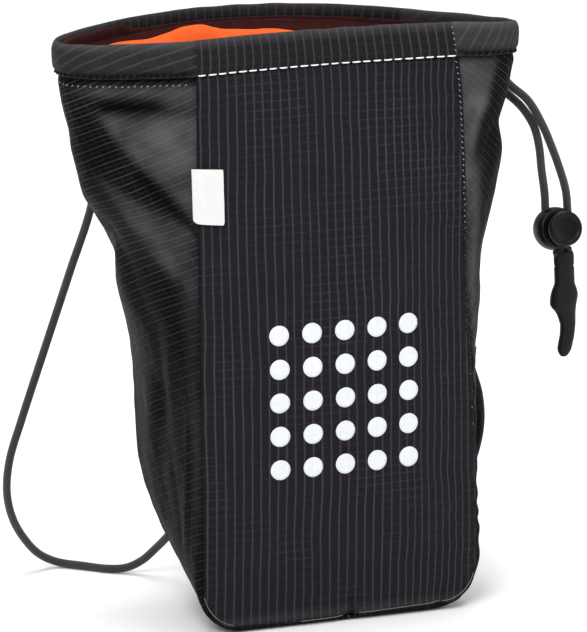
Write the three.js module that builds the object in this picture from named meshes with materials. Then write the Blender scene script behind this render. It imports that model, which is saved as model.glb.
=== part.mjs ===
// Climbing chalk bag: an open ripstop pouch with a fleece lining, a drawstring
// hem with a cord lock, a loop of thin cord at the back left and a webbing loop
// on the right side. Millimetres, +Z up, front towards -Y, standing on its base.
//
// The shell is three cloth pieces: a front panel, a back panel and one gusset
// strip that runs down the left side, across the base and up the right side.
// SECTIONS gives the plan of the bag at ten heights by its four seams and the
// outermost point of each side; everything soft is worked out from that table.
import * as THREE from 'three';
import { mergeVertices } from 'three/addons/utils/BufferGeometryUtils.js';

// ---- driving dimensions -------------------------------------------------
const SHELL_TOP = 169.7;      // top of the shell, where the hem starts
const HEM_BOTTOM = 170.05;
const RIM = 180.4;            // top of the hem
const SHELL_WALL = 1.2;       // cloth with its seam allowance
const LINING_GAP = 1.0;
const LINING_WALL = 2.0;
const SEAM_INSET = 0.22;      // each panel stops this far from its seam line
const BASE_DROP = 1.5;        // the base hangs this far below the panels' edges
const CORNER = {              // lower corners of the two panels
  front_left: 12.5, front_right: 13, back_width: 30, back_height: 42,
};
const HEM = { proud: 1.0, thick: 3.0 };
const CORD = { radius: 1.25, sides: 8 };
const CENTRE = { x: -9.953, y: 12.569 };   // middle of the plan, moved to x = y = 0

// plan sections: seams are fl, fr, br, bl (front left ... back left), rt and lt
// are the outermost points of the right and left sides, front_out and back_out
// how far a panel bows outwards at its middle
const COLUMNS = ['z', 'flx', 'fly', 'frx', 'fry', 'rtx', 'rty', 'brx', 'bry', 'blx', 'bly', 'ltx', 'lty', 'front_out', 'back_out'];
const SECTIONS = [
  [0, -43.5, -17.5, 45.8, -17.5, 45.8, 2, 45.8, 21.5, -43.8, 21.5, -43.7, 2, 0, 0],
  [20, -43.5, -17.5, 45.7, -17.5, 46.6, 3, 45.8, 22.5, -43.8, 22.5, -44.6, 3, 0.8, 0.8],
  [44, -43.7, -17.5, 45.4, -17.5, 47.6, 9, 45.4, 35.6, -44.8, 36.2, -46.2, 9, 2.4, 3.5],
  [75, -44.1, -17.5, 43.9, -17.3, 52.3, 9, 44.6, 38.6, -45.2, 39.8, -48.4, 14, 3, 6],
  [100, -44.3, -17.0, 42.5, -16.8, 54.6, 8, 42.5, 33.5, -47.6, 40.8, -55.2, 20, 3, 8],
  [114, -44.1, -16.2, 42.3, -16.3, 56.6, 3.5, 40.5, 31.5, -48.5, 40.0, -58.8, 19.5, 2, 9],
  [138, -43.3, -13.0, 42.4, -14.5, 59.0, -3, 35.0, 27.0, -53.0, 37.0, -70.8, 14, 0.5, 10],
  [160, -42.0, -9.8, 42.5, -11.2, 58.0, -8.5, 32.6, 21.6, -56.5, 32.2, -76.6, 11.5, -1.5, 13],
  [171, -41.2, -7.4, 41.7, -9.6, 57.4, -12.0, 33.2, 18.2, -57.5, 30.0, -78.6, 10.5, -2.5, 15],
  [180.4, -40.5, -5.0, 40.7, -8.4, 57.3, -14.2, 33.8, 16.0, -57.6, 28.8, -79.8, 9.9, -3.5, 16.6],
];

// dents and folds of the shell: side it is on, where along that side (0 to 1)
// and how high, its half length and half width, how deep (minus is outwards)
// and the turn of its long axis from level
const FOLDS = [
  { side: 'left', at: 0.62, z: 150, length: 20, width: 6, depth: 0.9, turn: -12 },
  { side: 'left', at: 0.30, z: 128, length: 16, width: 6, depth: -1.2, turn: 35 },
  { side: 'left', at: 0.30, z: 112, length: 20, width: 5, depth: 2.0, turn: 40 },
  { side: 'left', at: 0.55, z: 60, length: 26, width: 8, depth: 1.5, turn: 78 },
  { side: 'right', at: 0.45, z: 148, length: 20, width: 8, depth: 2.2, turn: 12 },
  { side: 'right', at: 0.60, z: 100, length: 22, width: 8, depth: 1.6, turn: -35 },
  { side: 'front', at: 0.53, z: 4, length: 7, width: 4, depth: 0.8, turn: 90 },
  { side: 'back', at: 0.40, z: 120, length: 30, width: 9, depth: 2.4, turn: 18 },
  { side: 'back', at: 0.62, z: 72, length: 30, width: 10, depth: 2.0, turn: -20 },
];

// ---- plan of the bag at any height ----------------------------------------
function rowAt(z) {
  let k = 0;
  while (k < SECTIONS.length - 2 && z > SECTIONS[k + 1][0]) k += 1;
  const a = SECTIONS[Math.max(k - 1, 0)];
  const b = SECTIONS[k];
  const c = SECTIONS[k + 1];
  const d = SECTIONS[Math.min(k + 2, SECTIONS.length - 1)];
  const t = (z - b[0]) / (c[0] - b[0]);
  const row = { z };
  for (let i = 1; i < COLUMNS.length; i += 1) {
    const span = c[0] - b[0];
    const m0 = (c[i] - a[i]) / (c[0] - a[0]) * span;
    const m1 = (d[i] - b[i]) / (d[0] - b[0]) * span;
    const t2 = t * t;
    const t3 = t2 * t;
    row[COLUMNS[i]] = (2 * t3 - 3 * t2 + 1) * b[i] + (t3 - 2 * t2 + t) * m0
      + (3 * t2 - 2 * t3) * c[i] + (t3 - t2) * m1;
  }
  return row;
}

// how far a rounded lower corner has drawn in at this height, and its slope
function cornerIn(z, width, height) {
  const above = (z - BASE_DROP) / height;
  if (above >= 1) return { shift: 0, down: 0 };
  const s = 1 - Math.max(above, 0);
  const c = Math.sqrt(Math.max(1 - s * s, 0));
  const out = new THREE.Vector2(c / width, s / height).normalize();
  return { shift: width * (1 - c), down: out.y };
}

function plan(z) {
  const r = rowAt(z);
  const fl = cornerIn(z, CORNER.front_left, CORNER.front_left);
  const fr = cornerIn(z, CORNER.front_right, CORNER.front_right);
  const bk = cornerIn(z, CORNER.back_width, CORNER.back_height);
  const V = (x, y) => new THREE.Vector2(x, y);
  const p = {
    z,
    fl: V(r.flx + fl.shift, r.fly), fr: V(r.frx - fr.shift, r.fry),
    br: V(r.brx - bk.shift, r.bry), bl: V(r.blx + bk.shift, r.bly),
    down_fl: fl.down, down_fr: fr.down, down_back: bk.down,
    front_out: r.front_out, back_out: r.back_out,
  };
  const side = (a, b, t0, shiftA, shiftB) => {
    const dA = t0.distanceTo(V(...a));
    const dB = t0.distanceTo(V(...b));
    const t = dA / (dA + dB);
    return { t, tip: V(t0.x + shiftA * (1 - t) + shiftB * t, t0.y) };
  };
  p.left = side([r.flx, r.fly], [r.blx, r.bly], V(r.ltx, r.lty), fl.shift, bk.shift);
  p.right = side([r.frx, r.fry], [r.brx, r.bry], V(r.rtx, r.rty), -fr.shift, -bk.shift);
  return p;
}

// a side of the bag in plan: a curve from its front seam a, past its tip, to b
function sideCurve(a, b, side, q) {
  const t = side.t;
  const w = 2 * t * (1 - t);
  const cx = (side.tip.x - (1 - t) ** 2 * a.x - t * t * b.x) / w;
  const cy = (side.tip.y - (1 - t) ** 2 * a.y - t * t * b.y) / w;
  return new THREE.Vector2(
    (1 - q) ** 2 * a.x + 2 * q * (1 - q) * cx + q * q * b.x,
    (1 - q) ** 2 * a.y + 2 * q * (1 - q) * cy + q * q * b.y,
  );
}

function bowed(a, b, out, s) {
  const n = new THREE.Vector2(b.y - a.y, a.x - b.x).normalize();
  return a.clone().lerp(b, s).addScaledVector(n, out * 4 * s * (1 - s));
}

// inward depth of the folds at a point of one side, `across` mm from its start
function foldDepth(side, s, z, width) {
  let depth = 0;
  for (const f of FOLDS) {
    if (f.side !== side) continue;
    const dx = (s - f.at) * width;
    const dz = z - f.z;
    const c = Math.cos(f.turn * Math.PI / 180);
    const n = Math.sin(f.turn * Math.PI / 180);
    const u = (dx * c + dz * n) / f.length;
    const v = (dz * c - dx * n) / f.width;
    depth += f.depth * Math.exp(-u * u * 1.5 - v * v * 1.5);
  }
  // folds die out at the seams
  return depth * Math.min(1, 12 * s * (1 - s)) ** 1.0;
}

// outward bulge of the gusset near the base, with a flat middle to stand on
const FLAT_FROM = 1 / 12;
function plateau(q) {
  const t = Math.min(1, q / FLAT_FROM, (1 - q) / FLAT_FROM);
  return 1 - (1 - t) ** 2;
}

// one point of the shell's outside. side: front, right, back or left; s runs
// anticlockwise seen from above, so right and back start at their front/right seam
function shellPoint(side, s, z) {
  const p = plan(z);
  if (side === 'front' || side === 'back') {
    const [a, b, out] = side === 'front' ? [p.fl, p.fr, p.front_out] : [p.br, p.bl, p.back_out];
    const n = new THREE.Vector2(b.y - a.y, a.x - b.x).normalize();
    const at = bowed(a, b, out, s).addScaledVector(n, -foldDepth(side, s, z, a.distanceTo(b)));
    return new THREE.Vector3(at.x, at.y, z);
  }
  const left = side === 'left';
  const q = left ? 1 - s : s;              // q runs from the front seam to the back seam
  const a = left ? p.fl : p.fr;
  const b = left ? p.bl : p.br;
  const curve = left ? p.left : p.right;
  const at = sideCurve(a, b, curve, q);
  const e = 0.01;
  const q0 = Math.max(q - e, 0);
  const q1 = Math.min(q + e, 1);
  const tangent = sideCurve(a, b, curve, q1).sub(sideCurve(a, b, curve, q0)).normalize();
  const out = left ? new THREE.Vector2(-tangent.y, tangent.x) : new THREE.Vector2(tangent.y, -tangent.x);
  at.addScaledVector(out, -foldDepth(side, s, z, a.distanceTo(b)));
  const down = (left ? p.down_fl : p.down_fr) * (1 - q) + p.down_back * q;
  const fade = 1 - THREE.MathUtils.smoothstep(z, 14, 44);
  const drop = BASE_DROP * plateau(q) * fade;
  const level = Math.sqrt(Math.max(1 - down * down, 0));
  at.addScaledVector(out, drop * level);
  return new THREE.Vector3(at.x, at.y, z - drop * down);
}

// ---- grids of the shell ----------------------------------------------------
// heights: close together round the lower corners, and one for each section
function levels(turns, steps) {
  const zs = [];
  for (let i = 0; i <= turns; i += 1) {
    zs.push(BASE_DROP + 12.5 * (1 - Math.cos((i / turns) * Math.PI / 2)));
  }
  const from = BASE_DROP + 12.5;
  for (let i = 1; i <= steps; i += 1) zs.push(from + (SHELL_TOP - from) * i / steps);
  return zs;
}

// rows of points, bottom to top, of the front or back panel
function panelGrid(side, zs, across) {
  return zs.map((z) => Array.from({ length: across + 1 }, (_, j) => shellPoint(side, j / across, z)));
}

// rows of points of the gusset strip, from the top of the left side, down,
// across the base and up the right side; each row runs front to back
function gussetGrid(zs, across, baseSteps) {
  const row = (side, z) => Array.from({ length: across + 1 }, (_, j) => {
    const q = j / across;
    return shellPoint(side, side === 'left' ? 1 - q : q, z);
  });
  const rows = [...zs].reverse().map((z) => row('left', z));
  const left = row('left', zs[0]);
  const right = row('right', zs[0]);
  const front = panelGrid('front', [zs[0]], baseSteps)[0];
  const back = panelGrid('back', [zs[0]], baseSteps)[0].reverse();
  for (let k = 1; k < baseSteps; k += 1) {
    const t = k / baseSteps;
    rows.push(left.map((p, j) => {
      if (j === 0) return front[k].clone();
      if (j === across) return back[k].clone();
      return p.clone().lerp(right[j], t);
    }));
  }
  zs.forEach((z) => rows.push(row('right', z)));
  return rows;
}

// inward direction at every point of the whole shell, long enough at a corner
// that the wall keeps its thickness on both faces
function inwardField(grids) {
  const key = (p) => `${Math.round(p.x * 1e3)},${Math.round(p.y * 1e3)},${Math.round(p.z * 1e3)}`;
  const at = new Map();
  const add = (p, n, w) => {
    const k = key(p);
    if (!at.has(k)) at.set(k, []);
    at.get(k).push({ n, w });
  };
  for (const g of grids) {
    for (let i = 0; i + 1 < g.length; i += 1) {
      for (let j = 0; j + 1 < g[i].length; j += 1) {
        const quad = [g[i][j], g[i][j + 1], g[i + 1][j + 1], g[i + 1][j]];
        const d1 = quad[2].clone().sub(quad[0]);
        const d2 = quad[3].clone().sub(quad[1]);
        const n = d1.cross(d2);
        if (n.length() < 1e-6) continue;
        n.normalize();
        quad.forEach((p, c) => {
          const e1 = quad[(c + 1) % 4].clone().sub(p);
          const e2 = quad[(c + 3) % 4].clone().sub(p);
          const angle = e1.length() && e2.length() ? e1.angleTo(e2) : 0;
          if (angle > 0) add(p, n, angle);
        });
      }
    }
  }
  return (p) => {
    const faces = at.get(key(p));
    const mean = new THREE.Vector3();
    faces.forEach((f) => mean.addScaledVector(f.n, f.w));
    mean.normalize();
    let low = 1;
    faces.forEach((f) => { low = Math.min(low, mean.dot(f.n)); });
    return mean.multiplyScalar(-1 / Math.max(low, 0.62));
  };
}

// ---- closed solids -----------------------------------------------------------
function geometry(points, faces) {
  const g = new THREE.BufferGeometry();
  g.setAttribute('position', new THREE.Float32BufferAttribute(points.flatMap((p) => [p.x, p.y, p.z]), 3));
  g.setIndex(faces);
  return g;
}

// a wall between an outer grid and an inner one, both with rows of equal length
function wallSolid(outer, inner) {
  const rows = outer.length;
  const cols = outer[0].length;
  const points = [...outer.flat(), ...inner.flat()];
  const o = (i, j) => i * cols + j;
  const n = (i, j) => rows * cols + i * cols + j;
  const faces = [];
  for (let i = 0; i + 1 < rows; i += 1) {
    for (let j = 0; j + 1 < cols; j += 1) {
      faces.push(o(i, j), o(i, j + 1), o(i + 1, j + 1), o(i, j), o(i + 1, j + 1), o(i + 1, j));
      faces.push(n(i, j), n(i + 1, j + 1), n(i, j + 1), n(i, j), n(i + 1, j), n(i + 1, j + 1));
    }
  }
  const edge = (a, b, c, d) => faces.push(a, c, b, b, c, d);
  for (let j = 0; j + 1 < cols; j += 1) {
    edge(o(0, j), o(0, j + 1), n(0, j), n(0, j + 1));
    edge(o(rows - 1, j + 1), o(rows - 1, j), n(rows - 1, j + 1), n(rows - 1, j));
  }
  for (let i = 0; i + 1 < rows; i += 1) {
    edge(o(i + 1, 0), o(i, 0), n(i + 1, 0), n(i, 0));
    edge(o(i, cols - 1), o(i + 1, cols - 1), n(i, cols - 1), n(i + 1, cols - 1));
  }
  return geometry(points, faces);
}

// rings of points, each closed on itself, capped or closed end to end
function ringSolid(rings, closeLoop = false) {
  const m = rings[0].length;
  const points = rings.flat();
  const faces = [];
  const turns = closeLoop ? rings.length : rings.length - 1;
  for (let i = 0; i < turns; i += 1) {
    const a = i * m;
    const b = ((i + 1) % rings.length) * m;
    for (let j = 0; j < m; j += 1) {
      const k = (j + 1) % m;
      faces.push(a + j, a + k, b + k, a + j, b + k, b + j);
    }
  }
  if (!closeLoop) {
    const last = (rings.length - 1) * m;
    for (let j = 1; j + 1 < m; j += 1) {
      faces.push(0, j + 1, j);
      faces.push(last, last + j, last + j + 1);
    }
  }
  return geometry(points, faces);
}

// ---- the cloth pieces ----------------------------------------------------------
const ACROSS = { panel: 8, side: 12, base: 8 };
const zs = levels(4, 15);
const frontGrid = panelGrid('front', zs, ACROSS.panel);
const backGrid = panelGrid('back', zs, ACROSS.panel);
const gusset = gussetGrid(zs, ACROSS.side, ACROSS.base);
const inward = inwardField([frontGrid, backGrid, gusset]);

// outer and inner grids of one cloth piece, stopped short of its seams
function clothPiece(grid, seams) {
  const rows = grid.length;
  const cols = grid[0].length;
  const offset = (depth) => grid.map((r) => r.map((p) => p.clone().addScaledVector(inward(p), depth)));
  const pull = (g) => {
    const moved = g.map((r) => r.map((p) => p.clone()));
    const towards = (i, j, ii, jj) => {
      const d = g[ii][jj].clone().sub(g[i][j]);
      if (d.length() > 1e-6) moved[i][j].addScaledVector(d.normalize(), SEAM_INSET);
    };
    for (let i = 0; i < rows; i += 1) {
      if (seams.columns) {
        towards(i, 0, i, 1);
        towards(i, cols - 1, i, cols - 2);
      }
    }
    if (seams.bottom) for (let j = 0; j < cols; j += 1) towards(0, j, 1, Math.min(Math.max(j, 1), cols - 2));
    return moved;
  };
  return [pull(offset(0)), pull(offset(SHELL_WALL))];
}

const front = wallSolid(...clothPiece(frontGrid, { columns: true, bottom: true }));
const back = wallSolid(...clothPiece(backGrid, { columns: true, bottom: true }));
const strip = wallSolid(...clothPiece(gusset, { columns: true }));

// drawstring channel: a puffed loop of cloth on top of the shell
const HEM_SECTION = [   // share of the thickness in from the outside, share of the height
  { in: 0.30, up: 0.00 }, { in: 0.05, up: 0.14 }, { in: 0.00, up: 0.48 }, { in: 0.08, up: 0.80 },
  { in: 0.42, up: 1.00 }, { in: 0.78, up: 0.93 }, { in: 0.98, up: 0.62 }, { in: 1.00, up: 0.18 }, { in: 0.80, up: 0.00 },
];
function outline(z, panelSteps, sideSteps) {
  const pts = [];
  const run = (side, steps) => {
    for (let j = 0; j < steps; j += 1) pts.push(shellPoint(side, j / steps, z));
  };
  run('front', panelSteps);
  run('right', sideSteps);
  run('back', panelSteps);
  run('left', sideSteps);
  return pts;
}
function insetPlan(pts, depth) {
  const m = pts.length;
  return pts.map((p, j) => {
    const before = pts[(j + m - 1) % m];
    const after = pts[(j + 1) % m];
    const n1 = new THREE.Vector2(p.y - before.y, before.x - p.x).normalize();
    const n2 = new THREE.Vector2(after.y - p.y, p.x - after.x).normalize();
    const n = n1.clone().add(n2).normalize();
    const k = depth / Math.max(n.dot(n1), 0.7);
    return new THREE.Vector3(p.x - n.x * k, p.y - n.y * k, p.z);
  });
}
const hemRings = HEM_SECTION.map((c) => {
  const z = HEM_BOTTOM + (RIM - HEM_BOTTOM) * c.up;
  return insetPlan(outline(z, 8, 14), -HEM.proud + HEM.thick * c.in);
});
const hemSolid = (() => {
  const count = hemRings[0].length;
  const sections = Array.from({ length: count }, (_, j) => hemRings.map((r) => r[j]));
  return ringSolid(sections.map((s) => s.reverse()), true);
})();

// fleece lining: a cup inside the shell whose wall stands up in one loose fold
// at the back left, the part that shows in the mouth
const LINING_FOLD = { at: 0.65, half: 0.30, from: 152, rise: 6.6, lean: 4.4 };   // along the back, 0 right to 1 left
function liningSolid() {
  const lzs = zs;
  const f = panelGrid('front', lzs, 8);
  const b = panelGrid('back', lzs, 8);
  const g = gussetGrid(lzs, 8, 8);
  const way = inwardField([f, b, g]);
  const offset = (grid, depth, onBack) => grid.map((row) => row.map((p, j) => {
    const q = p.clone().addScaledVector(way(p), depth);
    if (!onBack) return q;
    const u = (j / (row.length - 1) - LINING_FOLD.at) / LINING_FOLD.half;
    const hump = Math.abs(u) < 1 ? Math.cos(u * Math.PI / 2) ** 2 : 0;
    const share = Math.max(0, (p.z - LINING_FOLD.from) / (SHELL_TOP - LINING_FOLD.from));
    q.y -= hump * share * LINING_FOLD.lean;
    q.z += hump * share * LINING_FOLD.rise;
    return q;
  }));
  const points = [];
  const faces = [];
  const take = (grid, onBack, rimRows) => {
    const near = SHELL_WALL + LINING_GAP;
    const outer = offset(grid, near, onBack);
    const inner = offset(grid, near + LINING_WALL, onBack);
    const cols = grid[0].length;
    const o = points.length;
    points.push(...outer.flat());
    const n = points.length;
    points.push(...inner.flat());
    for (let i = 0; i + 1 < grid.length; i += 1) {
      for (let j = 0; j + 1 < cols; j += 1) {
        const [p, q, r, t] = [i * cols + j, i * cols + j + 1, (i + 1) * cols + j + 1, (i + 1) * cols + j];
        faces.push(o + p, o + q, o + r, o + p, o + r, o + t);
        faces.push(n + p, n + r, n + q, n + p, n + t, n + r);
      }
    }
    rimRows.forEach(([i, turn]) => {
      for (let j = 0; j + 1 < cols; j += 1) {
        const [p, q] = turn ? [i * cols + j + 1, i * cols + j] : [i * cols + j, i * cols + j + 1];
        faces.push(o + p, o + q, n + q, o + p, n + q, n + p);
      }
    });
  };
  take(f, false, [[f.length - 1, false]]);
  take(b, true, [[b.length - 1, false]]);
  take(g, false, [[0, true], [g.length - 1, false]]);
  return mergeVertices(geometry(points, faces), 1e-3);
}

// ---- label, side loop -------------------------------------------------------------
const LABEL = { left: -44.9, right: -35.1, bottom: 126.8, top: 143.0, thick: 1.0, off: 0.45 };
function labelSolid() {
  const across = 3;
  const up = 3;
  const face = (depth) => Array.from({ length: up + 1 }, (_, i) => {
    const z = LABEL.bottom + (LABEL.top - LABEL.bottom) * i / up;
    const p = plan(z);
    return Array.from({ length: across + 1 }, (_, j) => {
      const x = LABEL.left + (LABEL.right - LABEL.left) * j / across;
      const s = (x - p.fl.x) / (p.fr.x - p.fl.x);
      const at = shellPoint('front', Math.min(Math.max(s, 0), 1), z);
      return new THREE.Vector3(x, at.y - LABEL.off - depth, z);
    });
  });
  return wallSolid(face(LABEL.thick), face(0));
}

const SIDE_LOOP = { y: 11, width: 19, bottom: 23, top: 76, bow: 5.8, thick: 1.2, off: 0.4 };
function sideLoopSolid() {
  const steps = 14;
  const across = 4;
  // x of the gusset's outside on the right at this height and depth
  const gussetX = (y, z) => {
    let lo = 0;
    let hi = 1;
    for (let k = 0; k < 30; k += 1) {
      const mid = (lo + hi) / 2;
      if (shellPoint('right', mid, z).y < y) lo = mid; else hi = mid;
    }
    return shellPoint('right', (lo + hi) / 2, z).x;
  };
  const face = (depth) => Array.from({ length: steps + 1 }, (_, i) => {
    const t = i / steps;
    const z = SIDE_LOOP.bottom + (SIDE_LOOP.top - SIDE_LOOP.bottom) * t;
    const flat = Math.min(Math.max((t - 0.1) / 0.8, 0), 1);
    const bow = SIDE_LOOP.bow * Math.sin(Math.PI * flat) ** 1.1;
    let base = -Infinity;
    for (let k = 0; k <= 4; k += 1) base = Math.max(base, gussetX(SIDE_LOOP.y + (k / 4 - 0.5) * SIDE_LOOP.width, z));
    return Array.from({ length: across + 1 }, (_, j) => {
      const y = SIDE_LOOP.y + (j / across - 0.5) * SIDE_LOOP.width;
      const own = gussetX(y, z);
      const share = Math.min(bow / 3, 1);
      const x = own * (1 - share) + base * share + SIDE_LOOP.off + bow + depth;
      return new THREE.Vector3(x, y, z);
    });
  });
  return wallSolid(face(SIDE_LOOP.thick), face(0));
}

// ---- cords ---------------------------------------------------------------------------
const circle = new THREE.Shape(Array.from({ length: CORD.sides }, (_, k) => {
  const a = (k + 0.5) * 2 * Math.PI / CORD.sides;
  return new THREE.Vector2(Math.cos(a) * CORD.radius, Math.sin(a) * CORD.radius);
}));
const route = (points) => new THREE.CatmullRomCurve3(points.map((p) => new THREE.Vector3(...p)), false, 'centripetal');
function cordSolid(curve, steps) {
  return new THREE.ExtrudeGeometry(circle, { steps, bevelEnabled: false, extrudePath: curve });
}

// both ends are sewn into the back left seam; the low bend lies on the ground
const BACK_CORD = [
  [-55.6, 38.4, 147.0], [-54.9, 41.0, 136.0], [-56.4, 43.5, 120.3], [-61.8, 47.5, 99.9], [-68.2, 52.0, 76.2], [-74.7, 56.0, 52.7],
  [-78.0, 58.5, 39.1], [-78.1, 61.0, 28.3], [-75.3, 63.7, 18.7], [-70.0, 66.6, 10.2], [-65.0, 68.2, 5.0], [-59.2, 68.6, 1.9],
  [-52.8, 63.9, 1.3], [-46.2, 57.6, 1.3], [-41.5, 54.6, 2.0], [-37.5, 52.0, 4.5], [-34.2, 48.0, 9.3], [-31.8, 43.0, 14.8],
  [-31.0, 37.6, 21.4], [-31.4, 31.9, 28.6],
];
const STRAND_A = [
  [50.2, 5.7, 174.6], [53.9, 8.4, 171.2], [57.9, 8.6, 166.2], [61.5, 7.2, 160.6], [64.8, 5.0, 156.3], [70.0, 3.6, 151.5],
  [74.6, 2.4, 143.3], [77.2, 1.8, 136.9], [79.6, 1.4, 130.3], [81.6, 0.8, 123.0], [82.2, 0.5, 117.6],
];
const STRAND_B = [
  [47.4, 8.8, 173.6], [52.0, 11.8, 169.8], [55.9, 11.6, 163.1], [60.8, 9.9, 157.0], [64.8, 7.6, 153.2], [69.0, 5.8, 148.9],
  [72.2, 4.2, 143.4], [73.5, 2.9, 137.4], [74.0, 1.8, 129.8], [74.7, 0.9, 122.4], [74.9, 0.7, 118.4],
];
const LOWER_A = [[82.0, -0.2, 105.2], [82.4, -0.2, 102.7]];
const LOWER_B = [[78.3, -0.2, 104.4], [78.8, -0.2, 102.7]];

// ---- cord lock ------------------------------------------------------------------------
const LOCK = { x: 77.7, y: 0.2, z: 111.4, tilt: 13.5, radius: 6.7, back: -4.6, face: 4.6 };
const BUTTON = { radius: 5.4, stem: 3.6, clearance: 0.35, front: 9.9, thick: 2.2, depth: -0.6 };
const lathe = (points, sides) => new THREE.LatheGeometry(points.map(([r, h]) => new THREE.Vector2(r, h)), sides);
// profiles run along the lock's own axis, from its rounded back to its face
const bodyProfile = [
  [0, LOCK.back], [3.6, LOCK.back], [5.6, LOCK.back + 1.2], [6.5, LOCK.back + 3.2], [LOCK.radius, 0.4], [6.5, 2.6], [5.9, LOCK.face],
  [BUTTON.stem + BUTTON.clearance + 0.5, LOCK.face], [BUTTON.stem + BUTTON.clearance, LOCK.face - 0.5],
  [BUTTON.stem + BUTTON.clearance, -3.6], [0, -3.6],
];
const buttonProfile = [
  [0, BUTTON.depth], [BUTTON.stem, BUTTON.depth], [BUTTON.stem, BUTTON.front - BUTTON.thick], [BUTTON.radius - 0.4, BUTTON.front - BUTTON.thick],
  [BUTTON.radius, BUTTON.front - BUTTON.thick + 0.5], [BUTTON.radius, BUTTON.front - 0.8], [BUTTON.radius - 0.8, BUTTON.front], [0, BUTTON.front - 0.3],
];

// ---- moulded pull end: cross-sections down its length ------------------------------------
const PULL_END = [   // height, middle in x, half width in x, half depth in y
  { z: 102.2, x: 80.7, w: 3.0, d: 2.1 }, { z: 101.6, x: 80.8, w: 3.2, d: 2.4 }, { z: 94.0, x: 81.1, w: 3.15, d: 2.4 },
  { z: 92.2, x: 81.1, w: 4.0, d: 2.9 }, { z: 90.2, x: 81.0, w: 4.4, d: 3.2 }, { z: 87.3, x: 80.6, w: 4.2, d: 3.1 },
  { z: 84.9, x: 81.6, w: 3.0, d: 2.5 }, { z: 81.4, x: 82.3, w: 2.4, d: 1.9 }, { z: 77.7, x: 82.1, w: 2.25, d: 1.8 },
  { z: 74.0, x: 81.3, w: 2.3, d: 1.8 }, { z: 72.2, x: 81.1, w: 1.9, d: 1.5 }, { z: 71.2, x: 81.0, w: 0.9, d: 0.8 },
];
function pullEndSolid() {
  const sides = 12;
  const rings = PULL_END.map((c) => Array.from({ length: sides }, (_, k) => {
    const a = k * 2 * Math.PI / sides;
    return new THREE.Vector3(c.x + c.w * Math.cos(a), -0.2 + c.d * Math.sin(a), c.z);
  }));
  return ringSolid(rings.reverse());
}

// ---- scene graph -----------------------------------------------------------------------------
const cloth = (color, roughness = 0.7) => new THREE.MeshStandardMaterial({ color, roughness, metalness: 0 });
const ripstop = cloth(0x323035, 0.55);
const gussetCloth = cloth(0x1c1a1d, 0.5);
const fleece = cloth(0xf75928, 0.95);
const white = cloth(0xf2f2f2, 0.7);
const webbing = cloth(0x201e1f, 0.8);
const cordBlack = cloth(0x2c2c2c, 0.8);
const plastic = cloth(0x27282a, 0.45);
const rubber = cloth(0x2f2f2f, 0.6);

const bag = new THREE.Group();
bag.position.set(-CENTRE.x, -CENTRE.y, 0);
function add(name, geometryOf, material, parent = bag) {
  const mesh = new THREE.Mesh(geometryOf, material);
  mesh.name = name;
  parent.add(mesh);
  return mesh;
}
add('front_panel', front, ripstop);
add('back_panel', back, gussetCloth);
add('gusset', strip, gussetCloth);
add('hem_channel', hemSolid, ripstop);
add('lining', liningSolid(), fleece);
add('label', labelSolid(), white);
add('side_loop', sideLoopSolid(), webbing);
add('back_cord', cordSolid(route(BACK_CORD), 48), cordBlack);
add('drawstring_a', cordSolid(route(STRAND_A), 18), cordBlack);
add('drawstring_b', cordSolid(route(STRAND_B), 18), cordBlack);
add('drawstring_lower_a', cordSolid(route(LOWER_A), 1), cordBlack);
add('drawstring_lower_b', cordSolid(route(LOWER_B), 1), cordBlack);

// the lock's axis points forwards and a little up
const lock = new THREE.Group();
lock.position.set(LOCK.x, LOCK.y, LOCK.z);
lock.rotation.x = Math.PI - LOCK.tilt * Math.PI / 180;
bag.add(lock);
add('cord_lock_body', lathe(bodyProfile, 28), plastic, lock);
add('cord_lock_button', lathe(buttonProfile, 28), plastic, lock);
add('pull_end', pullEndSolid(), rubber);

const root = new THREE.Group();
root.add(bag);
export default root;
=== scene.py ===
"""Climbing chalk bag: the visual model, in metres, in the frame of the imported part."""
import math

import bpy
import numpy as np
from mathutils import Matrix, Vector


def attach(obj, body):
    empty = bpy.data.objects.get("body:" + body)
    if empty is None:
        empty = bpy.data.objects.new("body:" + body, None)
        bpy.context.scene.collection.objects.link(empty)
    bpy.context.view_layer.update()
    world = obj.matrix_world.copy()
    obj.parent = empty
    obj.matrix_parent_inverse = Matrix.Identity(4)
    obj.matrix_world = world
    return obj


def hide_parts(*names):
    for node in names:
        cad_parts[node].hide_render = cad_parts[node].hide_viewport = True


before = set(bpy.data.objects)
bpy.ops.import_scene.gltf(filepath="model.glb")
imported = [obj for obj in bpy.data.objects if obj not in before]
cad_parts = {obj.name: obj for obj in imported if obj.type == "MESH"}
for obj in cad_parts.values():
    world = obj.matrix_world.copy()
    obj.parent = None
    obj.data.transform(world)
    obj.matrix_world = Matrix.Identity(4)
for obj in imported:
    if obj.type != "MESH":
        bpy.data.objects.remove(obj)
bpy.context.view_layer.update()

# the route and section tables are in millimetres with the bag's front left seam
# at about x -44; this moves them to the part's own frame
SHIFT = np.array([9.953, -12.569, 0.0])


def metres(points):
    return (np.asarray(points, float) + SHIFT) / 1000.0


# ---------------------------------------------------------------- camera
AZIMUTH, ELEVATION, DISTANCE, FOCUS_PX, FRAME_H = -21.4, 14.5, 2300.0, 7628.5, 632
TARGET = np.array([-5.6, 5.0, 90.7])


def look_back():
    a, e = math.radians(AZIMUTH), math.radians(ELEVATION)
    return np.array([math.sin(a) * math.cos(e), -math.cos(a) * math.cos(e), math.sin(e)])


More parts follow.
